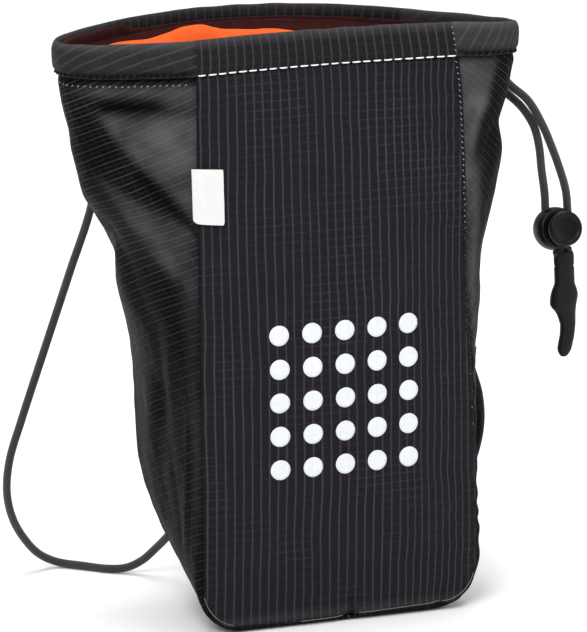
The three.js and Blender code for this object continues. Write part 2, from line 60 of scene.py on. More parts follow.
def make_camera():
    data = bpy.data.cameras.new("camera")
    cam = bpy.data.objects.new("camera", data)
    bpy.context.scene.collection.objects.link(cam)
    data.sensor_width = 36.0
    data.lens = FOCUS_PX / FRAME_H * 36.0
    data.clip_start, data.clip_end = 0.1, 60.0
    back = look_back()
    cam.location = Vector(metres(TARGET + back * DISTANCE))
    cam.rotation_mode = "QUATERNION"
    cam.rotation_quaternion = (-Vector(back)).to_track_quat("-Z", "Y")
    bpy.context.scene.camera = cam


def seen_at(px, py, y):
    """The point, in table millimetres, that shows at a pixel of the frame and lies at depth y."""
    a = math.radians(AZIMUTH)
    back = look_back()
    right = np.array([math.cos(a), math.sin(a), 0.0])
    up = np.cross(back, right)
    ray = -back + right * (px - 293.5) / FOCUS_PX + up * (316 - py) / FOCUS_PX
    eye = TARGET + back * DISTANCE
    return eye + ray * (y - eye[1]) / ray[1]


make_camera()

# ---------------------------------------------------------------- materials


class Shade:
    """A procedural material, built node by node."""

    def __init__(self, name):
        self.material = bpy.data.materials.new(name)
        self.material.use_nodes = True
        self.tree = self.material.node_tree
        self.tree.nodes.clear()
        self.out = self.node("ShaderNodeOutputMaterial")
        self.bsdf = self.node("ShaderNodeBsdfPrincipled")
        self.tree.links.new(self.bsdf.outputs[0], self.out.inputs[0])

    def node(self, kind, **props):
        n = self.tree.nodes.new(kind)
        for k, v in props.items():
            setattr(n, k, v)
        return n

    def put(self, socket, value):
        if isinstance(value, bpy.types.NodeSocket):
            self.tree.links.new(value, socket)
        elif value is not None:
            socket.default_value = value

    def math(self, op, a, b=None, c=None, clamp=False):
        n = self.node("ShaderNodeMath", operation=op, use_clamp=clamp)
        for s, v in zip(n.inputs, (a, b, c)):
            self.put(s, v)
        return n.outputs[0]

    def mix(self, fac, a, b):
        n = self.node("ShaderNodeMix", data_type="RGBA")
        self.put(n.inputs[0], fac)
        self.put(n.inputs[6], a if isinstance(a, bpy.types.NodeSocket) else (*a, 1.0))
        self.put(n.inputs[7], b if isinstance(b, bpy.types.NodeSocket) else (*b, 1.0))
        return n.outputs[2]

    def uv(self, name="cloth"):
        n = self.node("ShaderNodeUVMap", uv_map=name)
        s = self.node("ShaderNodeSeparateXYZ")
        self.tree.links.new(n.outputs[0], s.inputs[0])
        return n.outputs[0], s.outputs[0], s.outputs[1]

    def position(self):
        n = self.node("ShaderNodeTexCoord")
        return n.outputs["Object"]

    def noise(self, vector, scale, detail=3.0, rough=0.55):
        n = self.node("ShaderNodeTexNoise")
        self.put(n.inputs["Vector"], vector)
        n.inputs["Scale"].default_value = scale
        n.inputs["Detail"].default_value = detail
        n.inputs["Roughness"].default_value = rough
        return n.outputs[0]

    def attribute(self, name):
        return self.node("ShaderNodeAttribute", attribute_name=name).outputs["Fac"]

    def line(self, coord, pitch, width, soft):
        """1 on lines `width` wide that repeat every `pitch` along coord."""
        f = self.math("FRACT", self.math("DIVIDE", coord, pitch))
        away = self.math("MULTIPLY", self.math("ABSOLUTE", self.math("SUBTRACT", f, 0.5)), pitch)
        n = self.node("ShaderNodeMapRange", interpolation_type="SMOOTHSTEP")
        self.put(n.inputs[0], away)
        n.inputs[1].default_value = width / 2 + soft
        n.inputs[2].default_value = max(width / 2 - soft, 0)
        n.inputs[3].default_value = 0.0
        n.inputs[4].default_value = 1.0
        return n.outputs[0]

    def bump(self, height, distance, strength=1.0, normal=None):
        n = self.node("ShaderNodeBump")
        n.inputs["Strength"].default_value = strength
        n.inputs["Distance"].default_value = distance
        self.put(n.inputs["Height"], height)
        if normal is not None:
            self.put(n.inputs["Normal"], normal)
        return n.outputs[0]


def linear(r, g, b):
    return tuple(((c / 255) / 12.92) if c <= 10 else (((c / 255) + 0.055) / 1.055) ** 2.4 for c in (r, g, b))


def ripstop(name, ground, yarn, pitch, strong, weak, roughness, wobble=0.35, sheen=0.02, line_width=0.46, weave=1.0, gloss=0.2, highlight_tone=(0.05, 0.05, 0.053), islet=1.0, half=0.0):
    """Plain weave with a grid of thicker yarns; cloth coordinates are in millimetres."""
    m = Shade(name)
    uv, u, v = m.uv()
    drift = m.noise(uv, 0.06, 2.0)
    du = m.math("MULTIPLY", m.math("SUBTRACT", drift, 0.5), wobble * 2)
    drift2 = m.noise(uv, 0.09, 2.0)
    dv = m.math("MULTIPLY", m.math("SUBTRACT", drift2, 0.5), wobble * 2)
    warp = m.line(m.math("ADD", u, du), pitch[0], line_width, 0.2)
    weft = m.line(m.math("ADD", v, dv), pitch[1], line_width * 0.8, 0.18)
    if half:
        between = m.line(m.math("ADD", m.math("ADD", v, dv), pitch[1] / 2), pitch[1], line_width * 0.7, 0.18)
        weft = m.math("MAXIMUM", weft, m.math("MULTIPLY", between, half))
    # the thick yarns show as a row of floats, so each line is broken finely along its length
    fine_u = m.math("SINE", m.math("MULTIPLY", u, 2 * math.pi / 0.42))
    fine_v = m.math("SINE", m.math("MULTIPLY", v, 2 * math.pi / 0.42))
    broken_w = m.math("MULTIPLY_ADD", fine_v, 0.25, 0.75)
    broken_f = m.math("MULTIPLY_ADD", fine_u, 0.30, 0.70)
    patch = m.noise(uv, 0.022, 4.0, 0.6)
    vary = m.math("MULTIPLY_ADD", patch, 1.1, 0.45)
    islands = m.node("ShaderNodeMapRange", interpolation_type="SMOOTHSTEP")
    m.put(islands.inputs[0], m.noise(uv, 0.035, 3.0, 0.6))
    islands.inputs[1].default_value, islands.inputs[2].default_value = 0.46, 0.68
    islands.inputs[3].default_value, islands.inputs[4].default_value = islet, 1.0
    a = m.math("MULTIPLY", m.math("MULTIPLY", warp, broken_w), strong)
    b = m.math("MULTIPLY", m.math("MULTIPLY", m.math("MULTIPLY", weft, broken_f), weak), islands.outputs[0])
    lines = m.math("MULTIPLY", m.math("MAXIMUM", a, b), vary, clamp=True)
    grain = m.noise(uv, 2.2, 3.0, 0.7)
    dark = tuple(c * 0.72 for c in ground)
    base = m.mix(grain, dark, tuple(c * 1.3 for c in ground))
    # painted highlight: lightens the cloth toward a pale tone where the attribute says
    painted_highlight = m.attribute("painted_highlight")
    base = m.mix(painted_highlight, base, highlight_tone)
    seen = m.mix(lines, base, yarn)
    # painted shade: darkens the cloth toward a quarter of its ground colour where the "deep" attribute says
    m.put(m.bsdf.inputs["Base Color"], m.mix(m.attribute("deep"), seen, tuple(c * 0.25 for c in ground)))
    rough = m.math("MULTIPLY_ADD", grain, 0.14, roughness - 0.07)
    m.put(m.bsdf.inputs["Roughness"], rough)
    m.bsdf.inputs["Specular IOR Level"].default_value = gloss
    m.bsdf.inputs["Sheen Weight"].default_value = sheen
    m.bsdf.inputs["Sheen Roughness"].default_value = 0.45
    weave_h = m.math("MULTIPLY", m.math("MULTIPLY", fine_u, fine_v), 0.25 * weave)
    height = m.math("ADD", m.math("MULTIPLY", lines, 0.9), weave_h)
    crumple = m.noise(uv, 0.16, 4.0, 0.62)
    n1 = m.bump(crumple, 0.0009, 0.55)
    m.put(m.bsdf.inputs["Normal"], m.bump(height, 0.00009, 0.8, n1))
    return m.material


def thread(name, colour, roughness=0.6, spread=(0.72, 1.15), sheen=0.2):
    m = Shade(name)
    pos = m.position()
    fuzz = m.noise(pos, 1400.0, 3.0, 0.7)
    base = m.mix(fuzz, tuple(c * spread[0] for c in colour), tuple(min(c * spread[1], 1) for c in colour))
    m.put(m.bsdf.inputs["Base Color"], base)
    m.put(m.bsdf.inputs["Roughness"], m.math("MULTIPLY_ADD", fuzz, 0.2, roughness - 0.1))
    m.bsdf.inputs["Sheen Weight"].default_value = sheen
    m.bsdf.inputs["Specular IOR Level"].default_value = 0.5 if sheen else 0.1
    m.put(m.bsdf.inputs["Normal"], m.bump(fuzz, 0.00008, 0.6))
    return m.material


def fleece(name, colour, shade):
    """Deep brushed pile: soft, fuzzy and slightly mottled, darker where "shadow" says."""
    m = Shade(name)
    pos = m.position()
    pile = m.noise(pos, 620.0, 5.0, 0.72)
    mottle = m.noise(pos, 90.0, 3.0, 0.6)
    streak_map = m.node("ShaderNodeMapping")
    m.put(streak_map.inputs["Vector"], pos)
    streak_map.inputs["Scale"].default_value = (300.0, 300.0, 30.0)
    streak = m.noise(streak_map.outputs[0], 1.0, 2.0, 0.6)
    lit = m.mix(mottle, tuple(c * 0.92 for c in colour), colour)
    lit = m.mix(m.math("MULTIPLY", pile, 0.30), lit, tuple(c * 0.72 for c in colour))
    dark = m.mix(streak, tuple(c * 0.45 for c in shade), tuple(c * 1.6 for c in shade))
    m.put(m.bsdf.inputs["Base Color"], m.mix(m.attribute("shadow"), lit, dark))
    m.bsdf.inputs["Roughness"].default_value = 0.95
    m.bsdf.inputs["Specular IOR Level"].default_value = 0.15
    m.bsdf.inputs["Sheen Weight"].default_value = 0.06
    m.bsdf.inputs["Sheen Roughness"].default_value = 0.6
    m.bsdf.inputs["Sheen Tint"].default_value = (*[min(c * 1.2, 1) for c in colour], 1.0)
    m.put(m.bsdf.inputs["Normal"], m.bump(m.math("ADD", pile, m.math("MULTIPLY", mottle, 1.5)), 0.0006, 0.5))
    return m.material


def webbing_cloth(name, colour):
    m = Shade(name)
    uv, u, v = m.uv()
    zig = m.math("PINGPONG", v, 1.6)
    rib = m.math("SINE", m.math("MULTIPLY", m.math("ADD", u, zig), 2 * math.pi / 0.8))
    fine = m.math("SINE", m.math("MULTIPLY", v, 2 * math.pi / 0.45))
    h = m.math("MULTIPLY_ADD", m.math("MULTIPLY", rib, fine), 0.5, 0.5)
    m.put(m.bsdf.inputs["Base Color"], m.mix(h, tuple(c * 0.3 for c in colour), tuple(c * 1.6 for c in colour)))
    m.bsdf.inputs["Roughness"].default_value = 0.75
    m.bsdf.inputs["Sheen Weight"].default_value = 0.03
    m.put(m.bsdf.inputs["Normal"], m.bump(h, 0.00035, 1.0))
    return m.material


def braid(name, colour):
    """Tubular braid; u runs round the cord in carriers, v along it in millimetres."""
    m = Shade(name)
    uv, u, v = m.uv()
    a = m.math("FRACT", m.math("ADD", u, m.math("DIVIDE", v, 1.15)))
    b = m.math("FRACT", m.math("SUBTRACT", u, m.math("DIVIDE", v, 1.15)))
    pa = m.math("SINE", m.math("MULTIPLY", a, math.pi))
    pb = m.math("SINE", m.math("MULTIPLY", b, math.pi))
    h = m.math("MAXIMUM", m.math("POWER", pa, 0.6), m.math("POWER", pb, 0.6))
    low = m.math("MULTIPLY", m.math("POWER", pa, 0.5), m.math("POWER", pb, 0.5))
    fuzz = m.noise(m.position(), 1600.0, 3.0, 0.7)
    tone = m.math("MULTIPLY_ADD", low, 0.7, m.math("MULTIPLY", fuzz, 0.35))
    m.put(m.bsdf.inputs["Base Color"], m.mix(tone, tuple(c * 0.45 for c in colour), tuple(c * 1.5 for c in colour)))
    m.put(m.bsdf.inputs["Roughness"], m.math("MULTIPLY_ADD", fuzz, 0.2, 0.55))
    m.bsdf.inputs["Sheen Weight"].default_value = 0.2
    m.put(m.bsdf.inputs["Normal"], m.bump(m.math("ADD", h, low), 0.00022, 0.7))
    return m.material


def moulded(name, colour, roughness, grain=900.0, depth=0.00004, coat=0.0):
    m = Shade(name)
    pos = m.position()
    fine = m.noise(pos, grain, 4.0, 0.6)
    broad = m.noise(pos, 120.0, 3.0, 0.55)
    m.put(m.bsdf.inputs["Base Color"], m.mix(broad, tuple(c * 0.8 for c in colour), tuple(c * 1.2 for c in colour)))
    m.put(m.bsdf.inputs["Roughness"], m.math("MULTIPLY_ADD", fine, 0.18, roughness - 0.09))
    m.bsdf.inputs["Coat Weight"].default_value = coat
    m.bsdf.inputs["Specular IOR Level"].default_value = 0.17
    m.put(m.bsdf.inputs["Normal"], m.bump(fine, depth, 0.7))
    return m.material


def plain_print(name, colour):
    m = Shade(name)
    uv, u, v = m.uv()
    ripple = m.noise(uv, 3.0, 3.0, 0.6)
    warp = m.line(u, 3.0, 0.42, 0.16)
    weft = m.line(v, 2.8, 0.42, 0.16)
    lines = m.math("MAXIMUM", warp, weft)
    base = m.mix(m.math("MULTIPLY", lines, 0.35), colour, tuple(c * 0.86 for c in colour))
    m.put(m.bsdf.inputs["Base Color"], m.mix(m.math("MULTIPLY", ripple, 0.25), base, tuple(c * 0.9 for c in colour)))
    m.bsdf.inputs["Roughness"].default_value = 0.5
    m.put(m.bsdf.inputs["Normal"], m.bump(m.math("ADD", lines, ripple), 0.00006, 0.6))
    return m.material


def floor_paint(name):
    m = Shade(name)
    pos = m.position()
    n = m.noise(pos, 3.0, 3.0, 0.5)
    m.put(m.bsdf.inputs["Base Color"], m.mix(n, (0.88, 0.88, 0.88), (0.90, 0.90, 0.90)))
    m.bsdf.inputs["Roughness"].default_value = 0.85
    m.bsdf.inputs["Specular IOR Level"].default_value = 0.1
    return m.material


FRONT_CLOTH = ripstop("front_ripstop", linear(24, 22, 26), linear(88, 86, 91), (2.8, 2.66), 0.43, 0.24, 0.55, gloss=0.06, islet=0.28)
SIDE_CLOTH = ripstop("side_ripstop", linear(11, 10, 11), linear(96, 94, 98), (2.75, 2.75), 0.07, 0.44, 0.50, half=0.36, sheen=0.0, gloss=0.02, highlight_tone=(0.125, 0.121, 0.128))
HEM_CLOTH = ripstop("hem_ripstop", linear(23, 21, 24), linear(88, 84, 86), (2.8, 2.8), 0.42, 0.10, 0.55, gloss=0.07, highlight_tone=(0.075, 0.073, 0.076))
FLEECE = fleece("orange_fleece", linear(226, 92, 39), linear(34, 10, 14))
LABEL_CLOTH = thread("label_weave", linear(208, 207, 206), 0.75, (0.97, 1.03))
WEBBING = webbing_cloth("black_webbing", linear(27, 25, 26))
CORD_BRAID = braid("cord_braid", linear(15, 15, 16))
LOCK_PLASTIC = moulded("lock_plastic", linear(8, 9, 9), 0.36)
PULL_RUBBER = moulded("pull_rubber", linear(15, 15, 16), 0.55)
WHITE_THREAD = thread("white_thread", linear(238, 238, 236))
DARK_THREAD = thread("dark_thread", linear(8, 8, 9), 0.7, (0.72, 1.15), 0.0)
# short pale threads that stand for glints on dark stitching: painted highlights
GLINT_THREAD = thread("glint_thread", linear(150, 148, 150))
# pale thread for the painted highlight along the front panel's lower edge
EDGE_HIGHLIGHT_THREAD = thread("edge_highlight_thread", linear(112, 105, 98))
WHITE_PRINT = plain_print("white_print", linear(214, 217, 219))
FLOOR = floor_paint("floor_paint")

# ---------------------------------------------------------------- mesh helpers


def build(name, points, faces, material, uv=None, fields=None, smooth=True, sharp_deg=None):
    """points in table millimetres; uv is one pair per face corner; fields are one number per point."""
    me = bpy.data.meshes.new(name)
    faces = np.asarray(faces, np.int32)
    k = faces.shape[1]
    me.vertices.add(len(points))
    me.vertices.foreach_set("co", metres(points).astype(np.float32).ravel())
    me.loops.add(faces.size)
    me.loops.foreach_set("vertex_index", faces.ravel())
    me.polygons.add(len(faces))
    me.polygons.foreach_set("loop_start", (np.arange(len(faces)) * k).astype(np.int32))
    me.polygons.foreach_set("loop_total", np.full(len(faces), k, np.int32))
    me.update(calc_edges=True)
    if uv is not None:
        layer = me.uv_layers.new(name="cloth")
        layer.data.foreach_set("uv", np.asarray(uv, np.float32).reshape(-1))
    for key, values in (fields or {}).items():
        att = me.attributes.new(key, "FLOAT", "POINT")
        att.data.foreach_set("value", np.asarray(values, np.float32))
    me.validate()
    me.polygons.foreach_set("use_smooth", [bool(smooth)] * len(me.polygons))
    me.materials.append(material)
    ob = bpy.data.objects.new(name, me)
    bpy.context.scene.collection.objects.link(ob)
    if sharp_deg is not None:
        me.set_sharp_from_angle(angle=math.radians(sharp_deg))
    return ob


def quads(rows, cols, wrap_cols=False, wrap_rows=False, offset=0, flip=False):
    i = np.arange(rows if wrap_rows else rows - 1)[:, None]
    j = np.arange(cols if wrap_cols else cols - 1)[None, :]
    i2, j2 = (i + 1) % rows, (j + 1) % cols
    q = np.stack([i * cols + j + 0 * j2, i * cols + j2, i2 * cols + j2, i2 * cols + j], -1).reshape(-1, 4) + offset
    return q[:, ::-1] if flip else q


def join_meshes(parts):
    points, faces, uvs, fields, at = [], [], [], {}, 0
    for p in parts:
        points.append(p["points"])
        faces.append(np.asarray(p["faces"]) + at)
        at += len(p["points"])
        if "uv" in p:
            uvs.append(p["uv"])
    return np.vstack(points), np.vstack(faces), (np.vstack(uvs) if uvs else None)


# ---------------------------------------------------------------- cords


def route(points, spacing=0.35):
    """Centripetal Catmull-Rom line through the points, resampled evenly."""
    p = np.array(points, float)
    p = np.vstack([2 * p[0] - p[1], p, 2 * p[-1] - p[-2]])
    out = []
    for i in range(1, len(p) - 2):
        a, b, c, d = p[i - 1:i + 3]
        t0, t1, t2 = (max(np.linalg.norm(y - x), 1e-8) ** 0.5 for x, y in ((a, b), (b, c), (c, d)))
        m1 = ((b - a) / t0 - (c - a) / (t0 + t1) + (c - b) / t1) * t1
        m2 = ((c - b) / t1 - (d - b) / (t1 + t2) + (d - c) / t2) * t1
        t = np.linspace(0, 1, 40, endpoint=False)[:, None]
        out.append((2 * t**3 - 3 * t**2 + 1) * b + (t**3 - 2 * t**2 + t) * m1 + (3 * t**2 - 2 * t**3) * c + (t**3 - t**2) * m2)
    line = np.vstack(out + [p[-2][None]])
    step = np.linalg.norm(np.diff(line, axis=0), axis=1)
    run = np.concatenate([[0], np.cumsum(step)])
    n = max(int(round(run[-1] / spacing)), 4)
    at = np.linspace(0, run[-1], n + 1)
    return np.stack([np.interp(at, run, line[:, k]) for k in range(3)], 1), run[-1]


def frames_along(line):
    tan = np.gradient(line, axis=0)
    tan /= np.linalg.norm(tan, axis=1)[:, None]
    n = np.cross(tan[0], [0.3, 0.9, 0.2])
    n /= np.linalg.norm(n)
    side = []
    for t in tan:
        n = n - t * n.dot(t)
        n /= np.linalg.norm(n)
        side.append(n)
    side = np.array(side)
    return tan, side, np.cross(tan, side)


def tube_part(line, radius, sides, braid_depth=0.0, carriers=8, lay=9.2):
    tan, e1, e2 = frames_along(line)
    run = np.concatenate([[0], np.cumsum(np.linalg.norm(np.diff(line, axis=0), axis=1))])
    th = np.arange(sides) * 2 * math.pi / sides
    u = th / (2 * math.pi) * carriers
    a = (u[None, :] + run[:, None] / lay * carriers) % 1
    b = (u[None, :] - run[:, None] / lay * carriers) % 1
    bulge = np.maximum(np.sin(np.pi * a), np.sin(np.pi * b)) * 0.6 + np.sin(np.pi * a) * np.sin(np.pi * b) * 0.4
    r = np.asarray(radius) * np.ones(len(line))
    rad = r[:, None] - braid_depth + braid_depth * bulge * 1.6
    pts = line[:, None, :] + rad[..., None] * (np.cos(th)[None, :, None] * e1[:, None, :] + np.sin(th)[None, :, None] * e2[:, None, :])
    rows = len(line)
    faces = quads(rows, sides, wrap_cols=True)
    i = np.arange(rows - 1)[:, None]
    j = np.arange(sides)[None, :]
    uu = lambda jj: jj / sides * carriers
    uv = np.stack([
        np.stack(np.broadcast_arrays(uu(j), run[i]), -1),
        np.stack(np.broadcast_arrays(uu(j + 1), run[i]), -1),
        np.stack(np.broadcast_arrays(uu(j + 1), run[i + 1]), -1),
        np.stack(np.broadcast_arrays(uu(j), run[i + 1]), -1)], 2).reshape(-1, 2)
    # rounded ends: two small rings and a centre quad fan made of quads
    caps_p, caps_f, caps_uv = [], [], []
    at = rows * sides
    for end, sign in ((0, -1), (rows - 1, 1)):
        base = pts[end]
        centre = line[end]
        ring_ids = end * sides + np.arange(sides)
        for k, (shrink, push) in enumerate(((0.82, 0.35), (0.45, 0.55), (0.02, 0.6))):
            ring = centre + (base - centre) * shrink + tan[end] * sign * push * r[end] * 0.5
            ids = at + np.arange(sides)
            caps_p.append(ring)
            at += sides
            n1, n2 = np.roll(ring_ids, -1), np.roll(ids, -1)
            q = np.stack([ring_ids, n1, n2, ids], 1)
            caps_f.append(q if sign > 0 else q[:, ::-1])
            caps_uv.append(np.zeros((sides * 4, 2)))
            ring_ids = ids
    return {
        "points": np.vstack([pts.reshape(-1, 3)] + caps_p),
        "faces": np.vstack([faces] + caps_f),
        "uv": np.vstack([uv] + caps_uv),
    }


def cord_piece(name, parts, material):
    p, f, uv = join_meshes(parts)
    return build(name, p, f, material, uv)


CORD_RADIUS = 1.25
BACK_CORD = [
    (-55.6, 38.4, 147.0), (-54.9, 41.0, 136.0), (-56.4, 43.5, 120.3), (-61.8, 47.5, 99.9), (-68.2, 52.0, 76.2), (-74.7, 56.0, 52.7),
    (-78.0, 58.5, 39.1), (-78.1, 61.0, 28.3), (-75.3, 63.7, 18.7), (-70.0, 66.6, 10.2), (-65.0, 68.2, 5.0), (-59.2, 68.6, 1.9),
    (-52.8, 63.9, 1.3), (-46.2, 57.6, 1.3), (-41.5, 54.6, 2.0), (-37.5, 52.0, 4.5), (-34.2, 48.0, 9.3), (-31.8, 43.0, 14.8),
    (-31.0, 37.6, 21.4), (-31.4, 31.9, 28.6),
]
STRAND_A = [
    (50.2, 5.7, 174.6), (53.9, 8.4, 171.2), (57.9, 8.6, 166.2), (61.5, 7.2, 160.6), (64.8, 5.0, 156.3), (70.0, 3.6, 151.5),
    (74.6, 2.4, 143.3), (77.2, 1.8, 136.9), (79.6, 1.4, 130.3), (81.6, 0.8, 123.0), (82.2, 0.5, 116.2),
]
STRAND_B = [
    (47.4, 8.8, 173.6), (52.0, 11.8, 169.8), (55.9, 11.6, 163.1), (60.8, 9.9, 157.0), (64.8, 7.6, 153.2), (69.0, 5.8, 148.9),
    (72.2, 4.2, 143.4), (73.5, 2.9, 137.4), (74.0, 1.8, 129.8), (74.7, 0.9, 122.4), (74.9, 0.7, 116.9),
]
LOWER_A = [(82.0, -0.2, 105.2), (82.2, -0.2, 104.0), (82.4, -0.2, 102.7)]
LOWER_B = [(78.3, -0.2, 104.4), (78.55, -0.2, 103.5), (78.8, -0.2, 102.7)]


def cords():
    line, length = route(BACK_CORD, 0.36)
    back = cord_piece("back_cord_braid", [tube_part(line, CORD_RADIUS, 32, 0.05)], CORD_BRAID)
    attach(back, "bag")
    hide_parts("back_cord")
    made = {"back": back}
    for key, upper, lower in (("a", STRAND_A, LOWER_A), ("b", STRAND_B, LOWER_B)):
        line, length = route(upper, 0.36)
        low, _ = route(lower, 0.36)
        ob = cord_piece("drawstring_braid_" + key, [tube_part(line, CORD_RADIUS, 32, 0.05)], CORD_BRAID)
        short = cord_piece("drawstring_braid_lower_" + key, [tube_part(low, CORD_RADIUS, 32, 0.05)], CORD_BRAID)
        for piece, node in ((ob, "drawstring_" + key), (short, "drawstring_lower_" + key)):
            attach(piece, "bag")
            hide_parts(node)
        made[key] = (ob, upper, short)
    return made


CORDS = cords()

# ---------------------------------------------------------------- shape of the bag
SHELL_TOP, HEM_BOTTOM, RIM, SHELL_WALL, BASE_DROP = 169.7, 170.05, 180.4, 1.2, 1.5
CORNER = {"front_left": 12.5, "front_right": 13.0, "back_width": 30.0, "back_height": 42.0}
COLUMNS = ["z", "flx", "fly", "frx", "fry", "rtx", "rty", "brx", "bry", "blx", "bly", "ltx", "lty", "front_out", "back_out"]
SECTIONS = np.array([
    (0, -43.5, -17.5, 45.8, -17.5, 45.8, 2, 45.8, 21.5, -43.8, 21.5, -43.7, 2, 0, 0),
    (20, -43.5, -17.5, 45.7, -17.5, 46.6, 3, 45.8, 22.5, -43.8, 22.5, -44.6, 3, 0.8, 0.8),
    (44, -43.7, -17.5, 45.4, -17.5, 47.6, 9, 45.4, 35.6, -44.8, 36.2, -46.2, 9, 2.4, 3.5),
    (75, -44.1, -17.5, 43.9, -17.3, 52.3, 9, 44.6, 38.6, -45.2, 39.8, -48.4, 14, 3, 6),
    (100, -44.3, -17.0, 42.5, -16.8, 54.6, 8, 42.5, 33.5, -47.6, 40.8, -55.2, 20, 3, 8),
    (114, -44.1, -16.2, 42.3, -16.3, 56.6, 3.5, 40.5, 31.5, -48.5, 40.0, -58.8, 19.5, 2, 9),
    (138, -43.3, -13.0, 42.4, -14.5, 59.0, -3, 35.0, 27.0, -53.0, 37.0, -70.8, 14, 0.5, 10),
    (160, -42.0, -9.8, 42.5, -11.2, 58.0, -8.5, 32.6, 21.6, -56.5, 32.2, -76.6, 11.5, -1.5, 13),
    (171, -41.2, -7.4, 41.7, -9.6, 57.4, -12.0, 33.2, 18.2, -57.5, 30.0, -78.6, 10.5, -2.5, 15),
    (180.4, -40.5, -5.0, 40.7, -8.4, 57.3, -14.2, 33.8, 16.0, -57.6, 28.8, -79.8, 9.9, -3.5, 16.6),
])
# side, at, z, half length, half width, depth (minus is outwards), turn
FOLDS = [
    ("left", 0.62, 150, 20, 6, 0.9, -12),
    ("left", 0.30, 128, 16, 6, -1.2, 35),
    ("left", 0.30, 112, 20, 5, 2.0, 40),
    ("left", 0.55, 60, 26, 8, 1.5, 78),
    ("right", 0.45, 148, 20, 8, 2.2, 12),
    ("right", 0.60, 100, 22, 8, 1.6, -35),
    ("front", 0.53, 4, 7, 4, 0.8, 90),
    ("back", 0.40, 120, 30, 9, 2.4, 18),
    ("back", 0.62, 72, 30, 10, 2.0, -20),
]


def row_at(z):
    z = np.asarray(z, float)
    n = len(SECTIONS)
    k = np.searchsorted(SECTIONS[1:n - 1, 0], z, side="left")
    a, b = SECTIONS[np.maximum(k - 1, 0)], SECTIONS[k]
    c, d = SECTIONS[k + 1], SECTIONS[np.minimum(k + 2, n - 1)]
    span = c[..., :1] - b[..., :1]
    t = (z[..., None] - b[..., :1]) / span
    m0 = (c - a) / (c[..., :1] - a[..., :1]) * span
    m1 = (d - b) / (d[..., :1] - b[..., :1]) * span
    v = (2 * t**3 - 3 * t**2 + 1) * b + (t**3 - 2 * t**2 + t) * m0 + (3 * t**2 - 2 * t**3) * c + (t**3 - t**2) * m1
    return {name: v[..., i] for i, name in enumerate(COLUMNS)}


def corner_in(z, width, height):
    above = (z - BASE_DROP) / height
    s = np.clip(1 - np.maximum(above, 0), 0, 1)
    c = np.sqrt(np.maximum(1 - s * s, 0))
    down = (s / height) / np.hypot(c / width, s / height)
    return width * (1 - c), down


def plan(z):
    r = row_at(z)
    fl, dfl = corner_in(z, CORNER["front_left"], CORNER["front_left"])
    fr, dfr = corner_in(z, CORNER["front_right"], CORNER["front_right"])
    bk, dbk = corner_in(z, CORNER["back_width"], CORNER["back_height"])
    xy = lambda x, y: np.stack(np.broadcast_arrays(x, y), -1)
    p = {
        "fl": xy(r["flx"] + fl, r["fly"]), "fr": xy(r["frx"] - fr, r["fry"]),
        "br": xy(r["brx"] - bk, r["bry"]), "bl": xy(r["blx"] + bk, r["bly"]),
        "down_fl": dfl, "down_fr": dfr, "down_back": dbk,
        "front_out": r["front_out"], "back_out": r["back_out"],
    }

    def side(a, b, tip, shift_a, shift_b):
        da = np.linalg.norm(tip - a, axis=-1)
        db = np.linalg.norm(tip - b, axis=-1)
        t = da / (da + db)
        return t, xy(tip[..., 0] + shift_a * (1 - t) + shift_b * t, tip[..., 1])

    p["left"] = side(xy(r["flx"], r["fly"]), xy(r["blx"], r["bly"]), xy(r["ltx"], r["lty"]), fl, bk)
    p["right"] = side(xy(r["frx"], r["fry"]), xy(r["brx"], r["bry"]), xy(r["rtx"], r["rty"]), -fr, -bk)
    return p


def side_curve(a, b, t, tip, q):
    t = t[..., None]
    q = q[..., None]
    c = (tip - (1 - t) ** 2 * a - t * t * b) / (2 * t * (1 - t))
    return (1 - q) ** 2 * a + 2 * q * (1 - q) * c + q * q * b


def fold_depth(side, s, z, width):
    depth = np.zeros(np.broadcast(s, z).shape)
    for where, at, fz, length, half, deep, turn in FOLDS:
        if where != side:
            continue
        dx, dz = (s - at) * width, z - fz
        c, n = math.cos(math.radians(turn)), math.sin(math.radians(turn))
        u, v = (dx * c + dz * n) / length, (dz * c - dx * n) / half
        depth = depth + deep * np.exp(-1.5 * u * u - 1.5 * v * v)
    return depth * np.minimum(1, 12 * s * (1 - s))


def smoothstep(x, lo, hi):
    t = np.clip((x - lo) / (hi - lo), 0, 1)
    return t * t * (3 - 2 * t)


def plateau(q):
    t = np.minimum(1, np.minimum(q, 1 - q) * 12)
    return 1 - (1 - t) ** 2


def shell(side, s, z):
    """Points of the bag's outside; s runs anticlockwise seen from above."""
    s, z = np.broadcast_arrays(np.asarray(s, float), np.asarray(z, float))
    p = plan(z)
    if side in ("front", "back"):
        a, b, out = (p["fl"], p["fr"], p["front_out"]) if side == "front" else (p["br"], p["bl"], p["back_out"])
        d = b - a
        width = np.linalg.norm(d, axis=-1)
        n = np.stack([d[..., 1], -d[..., 0]], -1) / width[..., None]
        at = a + d * s[..., None] + n * (out * 4 * s * (1 - s) - fold_depth(side, s, z, width))[..., None]
        return np.concatenate([at, z[..., None]], -1)
    left = side == "left"
    q = 1 - s if left else s
    a, b = (p["fl"], p["bl"]) if left else (p["fr"], p["br"])
    t, tip = p["left"] if left else p["right"]
    at = side_curve(a, b, t, tip, q)
    q0, q1 = np.maximum(q - 0.01, 0), np.minimum(q + 0.01, 1)
    tan = side_curve(a, b, t, tip, q1) - side_curve(a, b, t, tip, q0)
    tan /= np.linalg.norm(tan, axis=-1)[..., None]
    out = np.stack([-tan[..., 1], tan[..., 0]], -1) if left else np.stack([tan[..., 1], -tan[..., 0]], -1)
    width = np.linalg.norm(b - a, axis=-1)
    at = at - out * fold_depth(side, s, z, width)[..., None]
    down = (p["down_fl"] if left else p["down_fr"]) * (1 - q) + p["down_back"] * q
    drop = BASE_DROP * plateau(q) * (1 - smoothstep(z, 14, 44))
    at = at + out * (drop * np.sqrt(np.maximum(1 - down * down, 0)))[..., None]
    return np.concatenate([at, (z - drop * down)[..., None]], -1)


